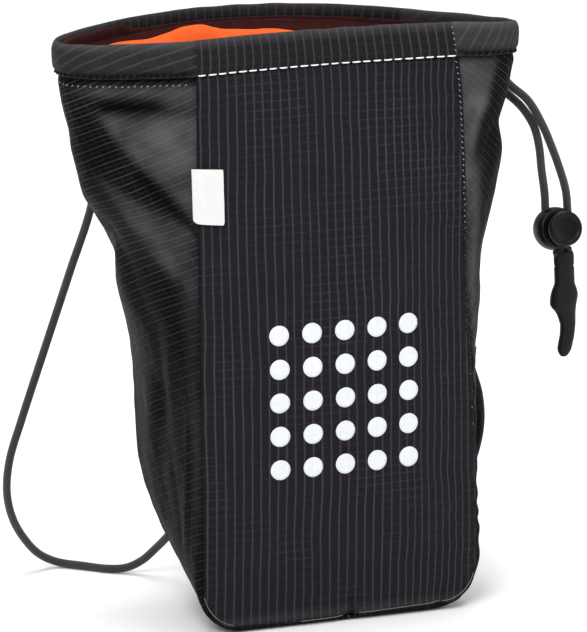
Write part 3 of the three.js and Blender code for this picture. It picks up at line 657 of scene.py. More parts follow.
def levels(turns, steps, top=SHELL_TOP):
    low = BASE_DROP + 12.5 * (1 - np.cos(np.arange(turns + 1) / turns * math.pi / 2))
    start = BASE_DROP + 12.5
    return np.concatenate([low, start + (top - start) * np.arange(1, steps + 1) / steps])


def panel_grid(side, zs, across):
    return shell(side, np.linspace(0, 1, across + 1)[None, :], np.asarray(zs)[:, None])


def gusset_grid(zs, across, base_steps):
    q = np.linspace(0, 1, across + 1)[None, :]
    zz = np.asarray(zs)[:, None]
    left = shell("left", 1 - q, zz)
    right = shell("right", q, zz)
    front = panel_grid("front", zs[:1], base_steps)[0]
    back = panel_grid("back", zs[:1], base_steps)[0][::-1]
    base = []
    for k in range(1, base_steps):
        row = left[0] + (right[0] - left[0]) * k / base_steps
        row[0], row[-1] = front[k], back[k]
        base.append(row)
    return np.concatenate([left[::-1], np.array(base), right], 0)


def inward_field(grids):
    """Inward direction at each point, long enough at corners to keep the wall's thickness."""
    flat = np.vstack([g.reshape(-1, 3) for g in grids])
    key = np.round(flat * 1000).astype(np.int64)
    _, ids = np.unique(key, axis=0, return_inverse=True)
    ids = ids.reshape(-1)
    total = np.zeros((ids.max() + 1, 3))
    corners, normals, at = [], [], 0
    for g in grids:
        r, c = g.shape[:2]
        q = quads(r, c, offset=at)
        at += r * c
        p = flat[q]
        n = np.cross(p[:, 2] - p[:, 0], p[:, 3] - p[:, 1])
        ln = np.linalg.norm(n, axis=1)
        ok = ln > 1e-6
        n[ok] /= ln[ok][:, None]
        for k in range(4):
            corners.append(ids[q[ok, k]])
            normals.append(n[ok])
    corners, normals = np.concatenate(corners), np.vstack(normals)
    np.add.at(total, corners, normals)
    total /= np.linalg.norm(total, axis=1)[:, None]
    low = np.ones(len(total))
    np.minimum.at(low, corners, (total[corners] * normals).sum(1))
    field = -total / np.maximum(low, 0.62)[:, None]
    out, at = [], 0
    for g in grids:
        n = g.shape[0] * g.shape[1]
        out.append(field[ids[at:at + n]].reshape(g.shape))
        at += n
    return out


# ---------------------------------------------------------------- cloth relief


def lattice_noise(u, v, scale, seed):
    g = np.random.RandomState(seed).rand(64, 64) * 2 - 1
    x, y = np.asarray(u) / scale, np.asarray(v) / scale
    xi, yi = np.floor(x).astype(int), np.floor(y).astype(int)
    fx, fy = x - xi, y - yi
    fx, fy = fx * fx * fx * (fx * (fx * 6 - 15) + 10), fy * fy * fy * (fy * (fy * 6 - 15) + 10)
    a, b = g[xi % 64, yi % 64], g[(xi + 1) % 64, yi % 64]
    c, d = g[xi % 64, (yi + 1) % 64], g[(xi + 1) % 64, (yi + 1) % 64]
    return (a * (1 - fx) + b * fx) * (1 - fy) + (c * (1 - fx) + d * fx) * fy


# sharp creases, each a line on one side: side, u and z of both ends in mm from the
# side's front seam, half width, height (plus is outwards)
CREASES = [
    # left side: a hollow under the hem, the pad below it and the crease that ends at the seam
    ("left", (3, 159.5), (22, 160.5), 3.4, -2.6), ("left", (2, 166), (26, 165.5), 2.2, 0.7),
    ("left", (15, 155), (3, 143), 5.0, 1.7), ("left", (24, 153), (14, 139), 4.0, -0.8),
    ("left", (13, 141), (-1, 123.5), 2.2, -2.2), ("left", (17, 138), (5, 121), 2.6, 0.9),
    ("left", (26, 134), (10, 114), 4.5, 0.8), ("left", (32, 122), (22, 96), 4.5, -0.9),
    ("left", (10, 100), (20, 64), 3.6, 0.6), ("left", (18, 94), (30, 58), 3.4, -0.8),
    ("left", (7, 70), (12, 24), 2.6, 0.5), ("left", (20, 56), (15, 24), 3.4, -0.6),
    # right side
    ("right", (5, 158), (16, 150), 2.4, 0.5), ("right", (4, 140), (14, 146), 2.6, -0.5),
    ("right", (6, 110), (18, 90), 3.2, 0.5),
    # front: long soft folds near the right seam and above the base
    ("front", (78, 120), (84, 78), 3.0, 0.35), ("front", (70, 60), (84, 34), 3.4, -0.35),
    ("front", (60, 22), (86, 40), 4.0, 0.35), ("front", (6, 30), (20, 8), 3.6, 0.3),
    # back
    ("back", (10, 150), (50, 138), 3.6, 0.8), ("back", (30, 110), (70, 92), 4.0, -0.9), ("back", (16, 70), (40, 40), 4.0, 0.8),
]


def relief(side, u, z, width):
    """Outward relief of the cloth, in mm; u runs from the side's front seam (left seam on the front)."""
    h = 0.45 * lattice_noise(u, z, 27.0, 3 + len(side)) + 0.20 * lattice_noise(u, z, 11.0, 13 + len(side))
    h = h + 0.07 * lattice_noise(u, z, 4.2, 23 + len(side))
    if side in ("left", "right", "back"):
        h = h * 1.5
    for where, (u0, z0), (u1, z1), half, high in CREASES:
        if where != side:
            continue
        ln = math.hypot(u1 - u0, z1 - z0)
        cu, cz = (u1 - u0) / ln, (z1 - z0) / ln
        t = (u - u0) * cu + (z - z0) * cz
        n = -(u - u0) * cz + (z - z0) * cu + 0.10 * (t * (ln - t)) / ln
        along = smoothstep(t, -ln * 0.25, ln * 0.2) * (1 - smoothstep(t, ln * 0.8, ln * 1.25))
        h = h + high * along * np.exp(-np.abs(n / half) ** 1.5)
    edge = np.minimum(u, width - u)
    h = h * np.clip(edge / 7.0, 0, 1) ** 0.8
    # pucker where the seam gathers the cloth
    wave = np.sin(2 * math.pi * z / 8.7 + 1.4 * lattice_noise(0 * u, z, 20.0, 41) * 3)
    right_edge = np.exp(-(width - u) / 6.5) if side == "front" else 0.25 * np.exp(-(width - u) / 4.0)
    left_edge = np.exp(-u / 5.0) * (0.8 if side == "right" else 0.4)
    h = h + (0.6 if side == "front" else 0.42) * wave * (right_edge + left_edge) * np.clip(edge / 1.5, 0, 1)
    # the seam allowance lies flat behind a strip beside the left seam
    if side == "left":
        h = h + 0.32 * (1 - smoothstep(u, 5.0, 6.0)) * (1 - smoothstep(z, 118, 128)) * smoothstep(z, 8, 20) * np.clip(u / 1.2, 0, 1)
    # groove of the seam itself
    h = h - 0.55 * np.exp(-(edge / 0.9) ** 2)
    # gathers under the hem
    deep = 0.5 if side != "front" else 0.16
    gather = lattice_noise(u, z * 0.12, 3.0, 51) + 0.6 * lattice_noise(u, z * 0.2, 1.7, 52)
    h = h + deep * gather * np.exp(-(SHELL_TOP - z) / (9.0 if side != "front" else 4.0)) * np.clip(edge / 2.5, 0, 1)
    h = h - 0.5 * np.exp(-((SHELL_TOP + 0.3 - np.minimum(z, SHELL_TOP + 0.3)) / 1.2) ** 2)
    # under the hem's lower edge the cloth stays inside it
    return h - np.maximum(h + 0.35, 0) * smoothstep(z, 167.9, 169.4)


# painted highlight patches: side, u, z, half length, half width, amount, turn
HIGHLIGHT_PATCHES = [
    ("left", 4.5, 148, 9, 5.0, 0.14, 55), ("left", 18, 129, 12, 4.5, 0.12, 35),
    ("left", 10, 118, 9, 4, 0.18, 50), ("left", 13, 166.3, 15, 2.0, 0.30, 0), ("left", 3, 163, 6, 4, 0.30, 0),
    ("left", 2.4, 66, 44, 2.9, 0.22, 90), ("left", 2, 112, 12, 3, 0.16, 90),
    ("right", 4, 158, 8, 4, 0.25, 100), ("right", 3, 112, 26, 4, 0.35, 90), ("right", 3, 136, 14, 3, 0.25, 90),
]


# painted highlight between three edges: side, amount, softness and the three corners (u, z)
HIGHLIGHT_WEDGES = [
    ("left", 0.33, 4.2, (27, 161.0), (-8, 113), (-8, 161.0)),
    ("left", 0.17, 4.0, (34, 146), (6, 104), (-2, 126)),
    ("right", 0.30, 3.6, (-4, 172), (13, 172), (-4, 108)),
]
# painted shade in hollows: side, amount, (u, z) of both ends, half width
SHADED_HOLLOWS = [
    ("left", 0.85, (8, 161.8), (20, 161.2), 2.2), ("left", 0.45, (29, 156), (21, 146), 3.0), ("left", 0.75, (13, 140.5), (0, 124), 1.5),
    ("left", 0.5, (30, 150), (26, 128), 6.0), ("left", 0.5, (20, 108), (27, 60), 6.0), ("left", 0.4, (8, 108), (8.5, 30), 1.6),
    ("left", 0.8, (0, 169.5), (60, 169.5), 1.1), ("right", 0.55, (11, 158), (5, 140), 2.0), ("right", 0.7, (0, 169.5), (60, 169.5), 1.1),
    ("right", 0.3, (14, 150), (9, 112), 2.4),
]


# painted shade along the listed hollows
def dark(side, u, z):
    w = np.zeros(np.broadcast(u, z).shape)
    for where, amount, (u0, z0), (u1, z1), half in SHADED_HOLLOWS:
        if where == side:
            ln = math.hypot(u1 - u0, z1 - z0)
            cu, cz = (u1 - u0) / ln, (z1 - z0) / ln
            t = np.clip((u - u0) * cu + (z - z0) * cz, 0, ln)
            away = np.hypot(u - u0 - t * cu, z - z0 - t * cz)
            w = np.maximum(w, amount * np.exp(-(away / half) ** 2))
    return w


def lit(side, u, z):
    w = np.zeros(np.broadcast(u, z).shape)
    for where, amount, soft, *corners in HIGHLIGHT_WEDGES:
        if where == side:
            share = 1.0
            (ua, za), (ub, zb), (uc, zc) = corners
            if (ub - ua) * (zc - za) < (uc - ua) * (zb - za):
                corners = corners[::-1]
            for (u0, z0), (u1, z1) in zip(corners, corners[1:] + corners[:1]):
                ln = math.hypot(u1 - u0, z1 - z0)
                share = share * smoothstep(((u1 - u0) * (z - z0) - (z1 - z0) * (u - u0)) / ln, 0.0, soft)
            w = w + amount * share
    for where, pu, pz, length, half, amount, turn in HIGHLIGHT_PATCHES:
        if where == side:
            c, n = math.cos(math.radians(turn)), math.sin(math.radians(turn))
            a = ((u - pu) * c + (z - pz) * n) / length
            b = ((z - pz) * c - (u - pu) * n) / half
            w = w + amount * np.exp(-1.2 * a * a - 1.2 * b * b)
    return np.clip(w * (1 + 0.28 * lattice_noise(u, z, 7.0, 91) + 0.22 * lattice_noise(u, z, 2.6, 92)), 0, 1)


def panel_width(side, zs):
    p = plan(np.asarray(zs, float))
    if side == "front":
        return np.linalg.norm(p["fr"] - p["fl"], axis=-1)
    if side == "back":
        return np.linalg.norm(p["br"] - p["bl"], axis=-1)
    s = np.linspace(0, 1, 24)[None, :]
    g = shell(side, s, np.asarray(zs, float)[:, None])
    return np.linalg.norm(np.diff(g, axis=1), axis=-1).sum(1)


ZS = np.concatenate([levels(18, 136), [170.4, 171.2, 172.0]])   # the last rows are tucked into the hem
N_PANEL, N_SIDE = 84, 56
FRONT = panel_grid("front", ZS, N_PANEL)
BACK = panel_grid("back", ZS, N_PANEL)
STRIP = gusset_grid(ZS, N_SIDE, N_PANEL)
IN_FRONT, IN_BACK, IN_STRIP = inward_field([FRONT, BACK, STRIP])


def strip_coordinates():
    """Across (mm from the front seam) and running length of each strip point, and the widths of the left and right
    sides.
    """
    n = len(ZS)
    q = np.linspace(0, 1, N_SIDE + 1)
    wl, wr = panel_width("left", ZS), panel_width("right", ZS)
    step = np.linalg.norm(np.diff(STRIP[:, N_SIDE // 2], axis=0), axis=1)
    run = np.concatenate([[0], np.cumsum(step)])
    across = np.zeros(STRIP.shape[:2])
    across[:n] = q[None, :] * wl[::-1, None]
    across[-n:] = q[None, :] * wr[:, None]
    across[n:-n] = q[None, :] * wl[0]
    return across, run, wl, wr


def wall(name, outer, way, thick, material, uv_grid, fields=None):
    """Closed wall: the outer grid, the inner one `thick` further in, and its four edges."""
    rows, cols = outer.shape[:2]
    o = outer.copy()
    inner = outer + way * thick
    pts = np.vstack([o.reshape(-1, 3), inner.reshape(-1, 3)])
    f_out = quads(rows, cols)
    f_in = quads(rows, cols, offset=rows * cols, flip=True)
    n = rows * cols
    edge = []
    j = np.arange(cols - 1)
    i = np.arange(rows - 1)
    edge.append(np.stack([j, n + j, n + j + 1, j + 1], 1))
    b = (rows - 1) * cols
    edge.append(np.stack([b + j + 1, n + b + j + 1, n + b + j, b + j], 1))
    edge.append(np.stack([(i + 1) * cols, n + (i + 1) * cols, n + i * cols, i * cols], 1))
    e = cols - 1
    edge.append(np.stack([i * cols + e, n + i * cols + e, n + (i + 1) * cols + e, (i + 1) * cols + e], 1))
    faces = np.vstack([f_out, f_in] + edge)
    uv_pt = np.vstack([uv_grid.reshape(-1, 2)] * 2)
    uv = uv_pt[faces.reshape(-1)]
    both = {k: np.concatenate([v.reshape(-1)] * 2) for k, v in (fields or {}).items()}
    return build(name, pts, faces, material, uv, both)


def pull_columns(g, amount):
    out = g.copy()
    for a, b in ((0, 1), (-1, -2)):
        d = g[:, b] - g[:, a]
        ln = np.linalg.norm(d, axis=1)[:, None]
        out[:, a] += d / np.maximum(ln, 1e-6) * np.minimum(amount, ln * 0.4)
    return out


def make_panel(side, grid, way, name, material, node, turn=0.0):
    widths = panel_width(side, ZS)
    s = np.linspace(0, 1, grid.shape[1])
    u = s[None, :] * widths[:, None]
    zz = np.broadcast_to(ZS[:, None], u.shape)
    h = relief(side, u, zz, widths[:, None])
    h = h * smoothstep(zz, 1.5, 7.0)
    # the folded lower edge stands a little proud of the base strip
    h = h + 0.35 * np.exp(-((zz - 3.4) / 1.6) ** 2)
    corner, edge = plan(ZS), row_at(ZS)
    front = side == "front"
    inset = corner["fl"][:, 0] - edge["flx"] if front else edge["brx"] - corner["br"][:, 0]
    cu = u + inset[:, None]
    deep = np.zeros(u.shape)
    lift = np.zeros(u.shape)
    if front:
        # two small tucks in the lower edge, with painted shade in them; painted shade on the bottom of the panel where
        # the base strip shows below it, and along both seams
        for at, size in ((47.7, 1.0), (76.5, 0.6)):
            near = np.exp(-((cu - at) / 1.7) ** 2) * (1 - smoothstep(zz, 2.0, 13.0))
            h = h - 0.9 * size * near
            deep = np.maximum(deep, 0.75 * size * np.exp(-((cu - at - 0.9) / 0.8) ** 2) * (1 - smoothstep(zz, 3.0, 10.0)))
            lift = lift + 0.55 * size * np.exp(-((cu - at) / 2.4) ** 2) * (1 - smoothstep(zz, 2.0, 8.0))
        black = 2.3 - 1.5 * np.exp(-((cu - 40.0) / 14.0) ** 2)
        deep = np.maximum(deep, 0.9 * (1 - smoothstep(zz, black - 0.15, black + 0.25)))
        deep = np.maximum(deep, 0.8 * smoothstep(u, widths[:, None] - 1.5, widths[:, None] - 0.6))
        deep = np.maximum(deep, 0.6 * (1 - smoothstep(u, 0.3, 1.0)))
    outer = grid - way * h[..., None]
    outer[..., 2] += lift
    outer = pull_columns(outer, 0.02)
    run = np.concatenate([[0], np.cumsum(np.linalg.norm(np.diff(grid[:, grid.shape[1] // 2], axis=0), axis=1))])
    c, n = math.cos(math.radians(turn)), math.sin(math.radians(turn))
    vv = np.broadcast_to(run[:, None], u.shape)
    if front:
        # the right seam draws the cloth in: its lines run closer there and waver
        pull = np.maximum(cu - 62.0, 0)
        cu = cu + 0.16 * pull * pull / (pull + 6.0) * 1.6
        cu = cu + 0.42 * np.sin(2 * math.pi * zz / 8.7 + 4.2 * lattice_noise(0 * u, zz, 20.0, 41)) * np.exp(-(widths[:, None] - u) / 13.0)
        cu = cu + 0.35 * lattice_noise(cu, zz, 16.0, 45)
    uv = np.stack([cu * c - vv * n, cu * n + vv * c], -1)
    # painted highlight: a light line along the folded lower edge
    painted_highlight = 0.3 * np.exp(-((zz - 3.6) / 1.2) ** 2) * (1.0 if front else 0.5)
    ob = wall(name, outer, way, 0.9, material, uv, {"painted_highlight": painted_highlight, "deep": deep})
    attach(ob, "bag")
    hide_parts(node)
    return ob, outer, uv


FRONT_OB, FRONT_OUT, FRONT_UV = make_panel("front", FRONT, IN_FRONT, "front_panel_cloth", FRONT_CLOTH, "front_panel")
BACK_OB, BACK_OUT, BACK_UV = make_panel("back", BACK, IN_BACK, "back_panel_cloth", SIDE_CLOTH, "back_panel", 90.0)


def make_strip():
    across, run, wl, wr = strip_coordinates()
    n = len(ZS)
    h = np.zeros(STRIP.shape[:2])
    zl = np.broadcast_to(ZS[::-1][:, None], across[:n].shape)
    zr = np.broadcast_to(ZS[:, None], across[-n:].shape)
    h[:n] = relief("left", across[:n], zl, wl[::-1, None]) * smoothstep(zl, 1.5, 9.0)
    h[-n:] = relief("right", across[-n:], zr, wr[:, None]) * smoothstep(zr, 1.5, 9.0)
    outer = STRIP - IN_STRIP * h[..., None]
    outer[..., 2] = np.maximum(outer[..., 2], 0.0)
    outer = pull_columns(outer, 0.02)
    vv = np.broadcast_to(run[:, None], across.shape).copy()
    arc = np.zeros(across.shape)
    arc[:, 1:] = np.cumsum(np.linalg.norm(np.diff(STRIP, axis=1), axis=2), axis=1)
    # the grid of the left side runs up to the right, that of the right side the other way
    uv = np.zeros((*across.shape, 2))
    for rows, turn in ((slice(0, n), -24.0), (slice(n, len(run) - n), 0.0), (slice(len(run) - n, None), 43.0)):
        c, k = math.cos(math.radians(turn)), math.sin(math.radians(turn))
        uv[rows, :, 0] = arc[rows] * c - vv[rows] * k
        uv[rows, :, 1] = arc[rows] * k + vv[rows] * c
        if turn > 0:
            uv[rows] *= 1.28
    # painted highlight on the left and right sides: the lit patches and wedges
    painted_highlight = np.zeros(across.shape)
    painted_highlight[:n] = lit("left", across[:n], zl)
    painted_highlight[-n:] = lit("right", across[-n:], zr)
    # painted shade: the hollows, and the lower part of the left side darker
    deep = np.zeros(across.shape)
    deep[:n] = np.maximum(dark("left", across[:n], zl), 0.46 * (1 - smoothstep(zl, 84.0, 128.0)) + 0.12 * (1 - smoothstep(zl, 128.0, 150.0)))
    deep[-n:] = dark("right", across[-n:], zr)
    ob = wall("gusset_cloth", outer, IN_STRIP, 0.9, SIDE_CLOTH, uv, {"painted_highlight": painted_highlight, "deep": deep})
    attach(ob, "bag")
    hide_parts("gusset")
    return ob, outer


STRIP_OB, STRIP_OUT = make_strip()

# ---------------------------------------------------------------- hem
HEM_PROUD, HEM_THICK = 1.0, 3.0
HEM_SECTION = [
    (0.30, 0.00), (0.05, 0.14), (0.00, 0.48), (0.08, 0.80), (0.42, 1.00), (0.78, 0.93), (0.98, 0.62), (1.00, 0.18), (0.80, 0.00),
]


def closed_curve(points, parts):
    p = np.array(points, float)
    n = len(p)
    out = []
    for i in range(n):
        a, b, c, d = p[(i - 1) % n], p[i], p[(i + 1) % n], p[(i + 2) % n]
        for k in range(parts):
            t = k / parts
            out.append(0.5 * (2 * b + (c - a) * t + (2 * a - 5 * b + 4 * c - d) * t * t + (3 * b - a - 3 * c + d) * t**3))
    return np.array(out)


def plan_ring(z, n_panel, n_side):
    """Ring of the outline at one height, with its side, share and distance from the side's start."""
    pts, sides, share, dist, widths = [], [], [], [], []
    for side, n in (("front", n_panel), ("right", n_side), ("back", n_panel), ("left", n_side)):
        s = np.arange(n) / n
        g = shell(side, s, np.full(n, z))
        w = float(panel_width(side, [z])[0])
        pts.append(g)
        sides += [side] * n
        share.append(s)
        dist.append(s * w)
        widths += [w] * n
    return np.vstack(pts), np.array(sides), np.concatenate(share), np.concatenate(dist), np.array(widths)


def shell_ring(z):
    """Ring of the outline with its own height at each point."""
    out, at = [], 0
    for side, n in (("front", 132), ("right", 84), ("back", 132), ("left", 84)):
        out.append(shell(side, np.arange(n) / n, z[at:at + n]))
        at += n
    return np.vstack(out)


def ring_normals(ring):
    before, after = np.roll(ring, 1, 0), np.roll(ring, -1, 0)
    e1, e2 = ring - before, after - ring
    n1 = np.stack([e1[:, 1], -e1[:, 0]], 1)
    n2 = np.stack([e2[:, 1], -e2[:, 0]], 1)
    n1 /= np.linalg.norm(n1, axis=1)[:, None]
    n2 /= np.linalg.norm(n2, axis=1)[:, None]
    n = n1 + n2
    n /= np.linalg.norm(n, axis=1)[:, None]
    k = 1 / np.maximum((n * n1).sum(1), 0.7)
    return np.stack([n[:, 0] * k, n[:, 1] * k, 0 * k], 1)


def hem_point_rings():
    section = closed_curve(HEM_SECTION, 3)
    n_panel, n_side = 132, 84
    rings = []
    for share_in, up in section:
        z = HEM_BOTTOM + (RIM - HEM_BOTTOM) * np.clip(up, 0, 1)
        ring, sides, share, dist, widths = plan_ring(z, n_panel, n_side)
        out = ring_normals(ring)
        depth = -HEM_PROUD + HEM_THICK * share_in
        edge = np.minimum(dist, widths - dist)
        outside = 1 - smoothstep(share_in, 0.1, 0.55)
        front = sides == "front"
        gather = lattice_noise(dist, 0 * dist + up * 1.2, 2.6, 61) * np.where(front, 0.10, 0.26)
        gather = gather + lattice_noise(dist, 0 * dist + up * 1.6, 7.0, 62) * np.where(front, 0.14, 0.34)
        low = max(1 - up, 0.0) ** 1.3
        h = gather * (0.25 + 0.75 * low)
        h = h - 0.45 * np.exp(-(edge / 0.8) ** 2) * outside
        # the stitch line pinches the hem just above its lower edge
        h = h - np.where(front, 0.35, 0.55) * math.exp(-((up - 0.10) / 0.09) ** 2) * outside
        # short vertical seam in the left part of the hem
        left = sides == "left"
        h = h - np.where(left, 0.7 * np.exp(-((widths - dist - 9.8) / 0.8) ** 2), 0) * outside
        p = ring - out * depth + out * h[:, None]
        p[:, 2] = z + 0.15 * lattice_noise(dist, 0 * dist, 6.0, 63) * up
        rings.append(p)
    return np.array(rings), sides, dist, widths, section


HEM_RINGS, HEM_SIDES, HEM_DIST, HEM_WIDTHS, HEM_SHAPE = hem_point_rings()


def make_hem():
    rings = HEM_RINGS
    k, m = rings.shape[:2]
    pts = rings.reshape(-1, 3)
    faces = quads(k, m, wrap_cols=True, wrap_rows=True, flip=True)
    # cloth coordinates per face corner, so each part of the hem has its own grain
    sec_run = np.concatenate([[0], np.cumsum(np.linalg.norm(np.diff(np.vstack([HEM_SHAPE, HEM_SHAPE[:1]]) * [HEM_THICK, RIM - HEM_BOTTOM], axis=0), axis=1))])
    i = np.repeat(np.arange(k), m)
    j = np.tile(np.arange(m), k)
    side = HEM_SIDES[j]
    u0 = HEM_DIST[j]
    nxt = HEM_DIST[(j + 1) % m]
    u1 = np.where(nxt < u0, HEM_WIDTHS[j], nxt)
    v0, v1 = sec_run[i], sec_run[i + 1]
    turn = np.radians(np.select([side == "front", side == "left", side == "right"], [0.0, 67.0, 28.0], 0.0))
    c, n = np.cos(turn), np.sin(turn)
    base = float(np.linalg.norm(np.diff(FRONT[:, N_PANEL // 2], axis=0), axis=1).sum())
    corner = lambda u, v: np.stack([u * c - (v + base) * n, u * n + (v + base) * c], -1)
    uv = np.stack([corner(u0, v0), corner(u1, v0), corner(u1, v1), corner(u0, v1)], 1)[:, ::-1].reshape(-1, 2)
    up = np.repeat(HEM_SHAPE[:, 1], m)
    # painted highlight along the top of the hem, and more over its left and right parts
    painted_highlight = np.clip(np.exp(-((up - 1.0) / 0.16) ** 2), 0, 1) * 0.35 + np.where(np.tile(HEM_SIDES, k) == "left", 0.12, np.where(np.tile(HEM_SIDES, k) == "right", 0.3, 0.0))
    inside = np.repeat(HEM_SHAPE[:, 0], m) > 0.5
    sides = np.tile(HEM_SIDES, k)
    # painted shade: a band just above the lower edge of the side parts of the hem, and the hem's inside
    deep = np.where((sides != "front") & ~inside, 0.8 * np.exp(-((up - 0.13) / 0.11) ** 2), 0.0)
    deep = deep + np.where(inside, 0.35, 0.0)
    ob = build("hem_cloth", pts, faces, HEM_CLOTH, uv, {"painted_highlight": painted_highlight, "deep": deep})
    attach(ob, "bag")
    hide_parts("hem_channel")
    return ob


HEM_OB = make_hem()

# ---------------------------------------------------------------- lining
# top line of the loose fold, by where it shows in the frame: across, down
FOLD_LINE = [(96, 88.0), (99, 68.0), (102, 54.0), (105, 47.6), (109, 45.6), (118, 43.8), (132, 41.4), (146, 39.4), (158, 37.6), (166, 35.0), (174, 31.0), (182, 27.0),
             (190, 24.6), (197, 24.0), (205, 25.0), (213, 27.8), (221, 29.6), (232, 30.2), (248, 30.0), (266, 29.4), (284, 29.8), (298, 31.6), (303, 36.0), (308, 48.0), (312, 68.0)]


def make_lining():
    zs = levels(10, 72)
    n_panel, n_side = 72, 30
    f, b = panel_grid("front", zs, n_panel), panel_grid("back", zs, n_panel)
    g = gusset_grid(zs, n_side, n_panel)
    way = inward_field([f, b, g])
    near, thick = SHELL_WALL + 1.0, 2.0
    pts, faces, shadow, at = [], [], [], 0
    for grid, w, kind in ((f, way[0], "front"), (b, way[1], "back"), (g, way[2], "strip")):
        rows, cols = grid.shape[:2]
        layers = []
        shades = []
        for depth in (near, near + thick):
            low = 2.2 * (1 - smoothstep(grid[..., 2], 163.0, SHELL_TOP - 0.5)) * smoothstep(grid[..., 2], 6.0, 20.0)
            p = grid + w * (depth + low)[..., None]
            z = p[..., 2].copy()
            pile = 0.32 * lattice_noise(p[..., 0] + p[..., 1], z, 2.4, 71) + 0.5 * lattice_noise(p[..., 0] - p[..., 1], z, 9.0, 72)
            if depth > near:
                p = p + w * (pile * np.clip((z - 4) / 6, 0, 1))[..., None]
            # the top edge is sewn to the inside of the hem
            p[..., 2] += smoothstep(z, 158, SHELL_TOP) * 6.6
            top = smoothstep(z, 150, SHELL_TOP)
            shades.append(top * (0.0 if kind == "front" else 1.0))
            layers.append(p)
        n = rows * cols
        pts += [layers[0].reshape(-1, 3), layers[1].reshape(-1, 3)]
        shadow += [shades[0].reshape(-1), shades[1].reshape(-1)]
        faces.append(quads(rows, cols, offset=at))
        faces.append(quads(rows, cols, offset=at + n, flip=True))
        j = np.arange(cols - 1)
        for row, turn in (((rows - 1, False),) if kind != "strip" else ((rows - 1, False), (0, True))):
            k = at + row * cols
            q = np.stack([k + j + 1, n + k + j + 1, n + k + j, k + j], 1)
            faces.append(q[:, ::-1] if turn else q)
        at += 2 * n
    # its upper edge inside the hem, round the left, the back and the right, painted in the shade colour (painted
    # shade)
    band = []
    for share in (0.0, 1.0):
        rows = []
        for t in np.linspace(0, 1, 9):
            ring, sides, _, dist, widths = plan_ring(170.0, 132, 84)
            left = (sides == "left") | ((sides == "back") & (widths - dist < 8.0))
            lift = np.where(left, 179.2, 176.9)
            for k in range(2):
                lift = np.convolve(np.concatenate([lift[-3:], lift, lift[:3]]), np.ones(7) / 7, "valid")
            z = 165.0 + (lift - 165.0) * t
            flat = shell_ring(z)
            way_in = -ring_normals(flat)
            fuzz = 0.25 * lattice_noise(np.arange(len(flat)) * 0.6, z, 1.6, 75) * share
            rows.append(np.column_stack([(flat + way_in * (2.1 + 0.9 * share + fuzz)[:, None])[:, :2], z]))
        band.append(np.array(rows))
    k, m = band[0].shape[:2]
    for layer, flip in ((band[0], False), (band[1], True)):
        pts.append(layer.reshape(-1, 3))
        shadow.append(np.where(np.tile(sides, k) == "front", 0.0, 1.0))
        faces.append(quads(k, m, wrap_cols=True, offset=at, flip=flip))
        at += k * m
    j = np.arange(m)
    j2 = (j + 1) % m
    for row, turn in ((k - 1, False), (0, True)):
        o, i = at - 2 * k * m + row * m, at - k * m + row * m
        q = np.stack([o + j2, i + j2, i + j, o + j], 1)
        faces.append(q[:, ::-1] if turn else q)
    # the loose fold that stands up in front of the back wall
    line = np.array(FOLD_LINE, float)
    run = np.linspace(line[0, 0], line[-1, 0], 170)
    down = np.interp(run, line[:, 0], line[:, 1])
    for _ in range(4):
        down[1:-1] = (down[:-2] + 2 * down[1:-1] + down[2:]) / 4
    top = np.array([seen_at(px, py, 17.0) for px, py in zip(run, down)])
    lean = -2.6 * np.exp(-((run - 194) / 11) ** 2) + 1.4 * np.exp(-((run - 216) / 7) ** 2) - 0.8 * np.exp(-((run - 150) / 10) ** 2) + 0.5 * np.sin(run / 6.0)
    loop = [(0.0, -22.0), (0.0, -14.0), (0.0, -8.0), (0.0, -4.5), (0.0, -2.2), (0.25, -0.9), (0.8, -0.15), (1.3, 0.0), (1.8, -0.15), (2.35, -0.9), (2.7, -2.2), (4.4, -7.0), (7.0, -13.0), (11.0, -22.0)]
    fold = []
    skirt = np.interp(run, [run[0], run[0] + 12, run[-1] - 14, run[-1]], [0.4, 1.0, 1.0, 0.4])
    for dy, dz in loop:
        share = math.exp(dz / 7.0)
        q = top + np.stack([0 * run, dy * np.where(dy > 3, skirt, 1.0) + lean * share - 7.0 * (1 - share), dz * np.where(dz < -4, skirt, 1.0)], 1)
        q[:, 1] += 0.22 * lattice_noise(q[:, 0] * 1.0, q[:, 2], 1.8, 77)
        fold.append(q)
    fold = np.array(fold)
    k, m = fold.shape[:2]
    pts.append(fold.reshape(-1, 3))
    shadow.append(np.zeros(k * m))
    faces.append(quads(k, m, wrap_rows=True, offset=at))
    i = np.arange(k // 2)
    for col, turn in ((0, True), (m - 1, False)):
        q = np.stack([i * m + col, (i + 1) * m + col, (k - 2 - i) * m + col, (k - 1 - i) * m + col], 1)[: k // 2] + at
        faces.append(q[:, ::-1] if turn else q)
    at += k * m
    ob = build("lining_fleece", np.vstack(pts), np.vstack(faces), FLEECE, None, {"shadow": np.concatenate(shadow)})
    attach(ob, "bag")
    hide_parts("lining")
    return ob


make_lining()

# ---------------------------------------------------------------- surfaces for trim


def on_front(u, z, lift=0.0):
    """Point of the front panel's outside, u mm from its left seam."""
    u, z = np.broadcast_arrays(np.asarray(u, float), np.asarray(z, float))
    fi = np.interp(z, ZS, np.arange(len(ZS)))
    w = np.interp(z, ZS, panel_width("front", ZS))
    fj = np.clip(u / w, 0, 1) * N_PANEL
    i0, j0 = np.clip(np.floor(fi).astype(int), 0, len(ZS) - 2), np.clip(np.floor(fj).astype(int), 0, N_PANEL - 1)
    a, b = (fi - i0)[..., None], (fj - j0)[..., None]
    g, w_ = FRONT_OUT, IN_FRONT
    pick = lambda t: (t[i0, j0] * (1 - a) + t[i0 + 1, j0] * a) * (1 - b) + (t[i0, j0 + 1] * (1 - a) + t[i0 + 1, j0 + 1] * a) * b
    out = -pick(w_)
    out /= np.linalg.norm(out, axis=-1)[..., None]
    return pick(g) + out * np.asarray(lift)[..., None], out


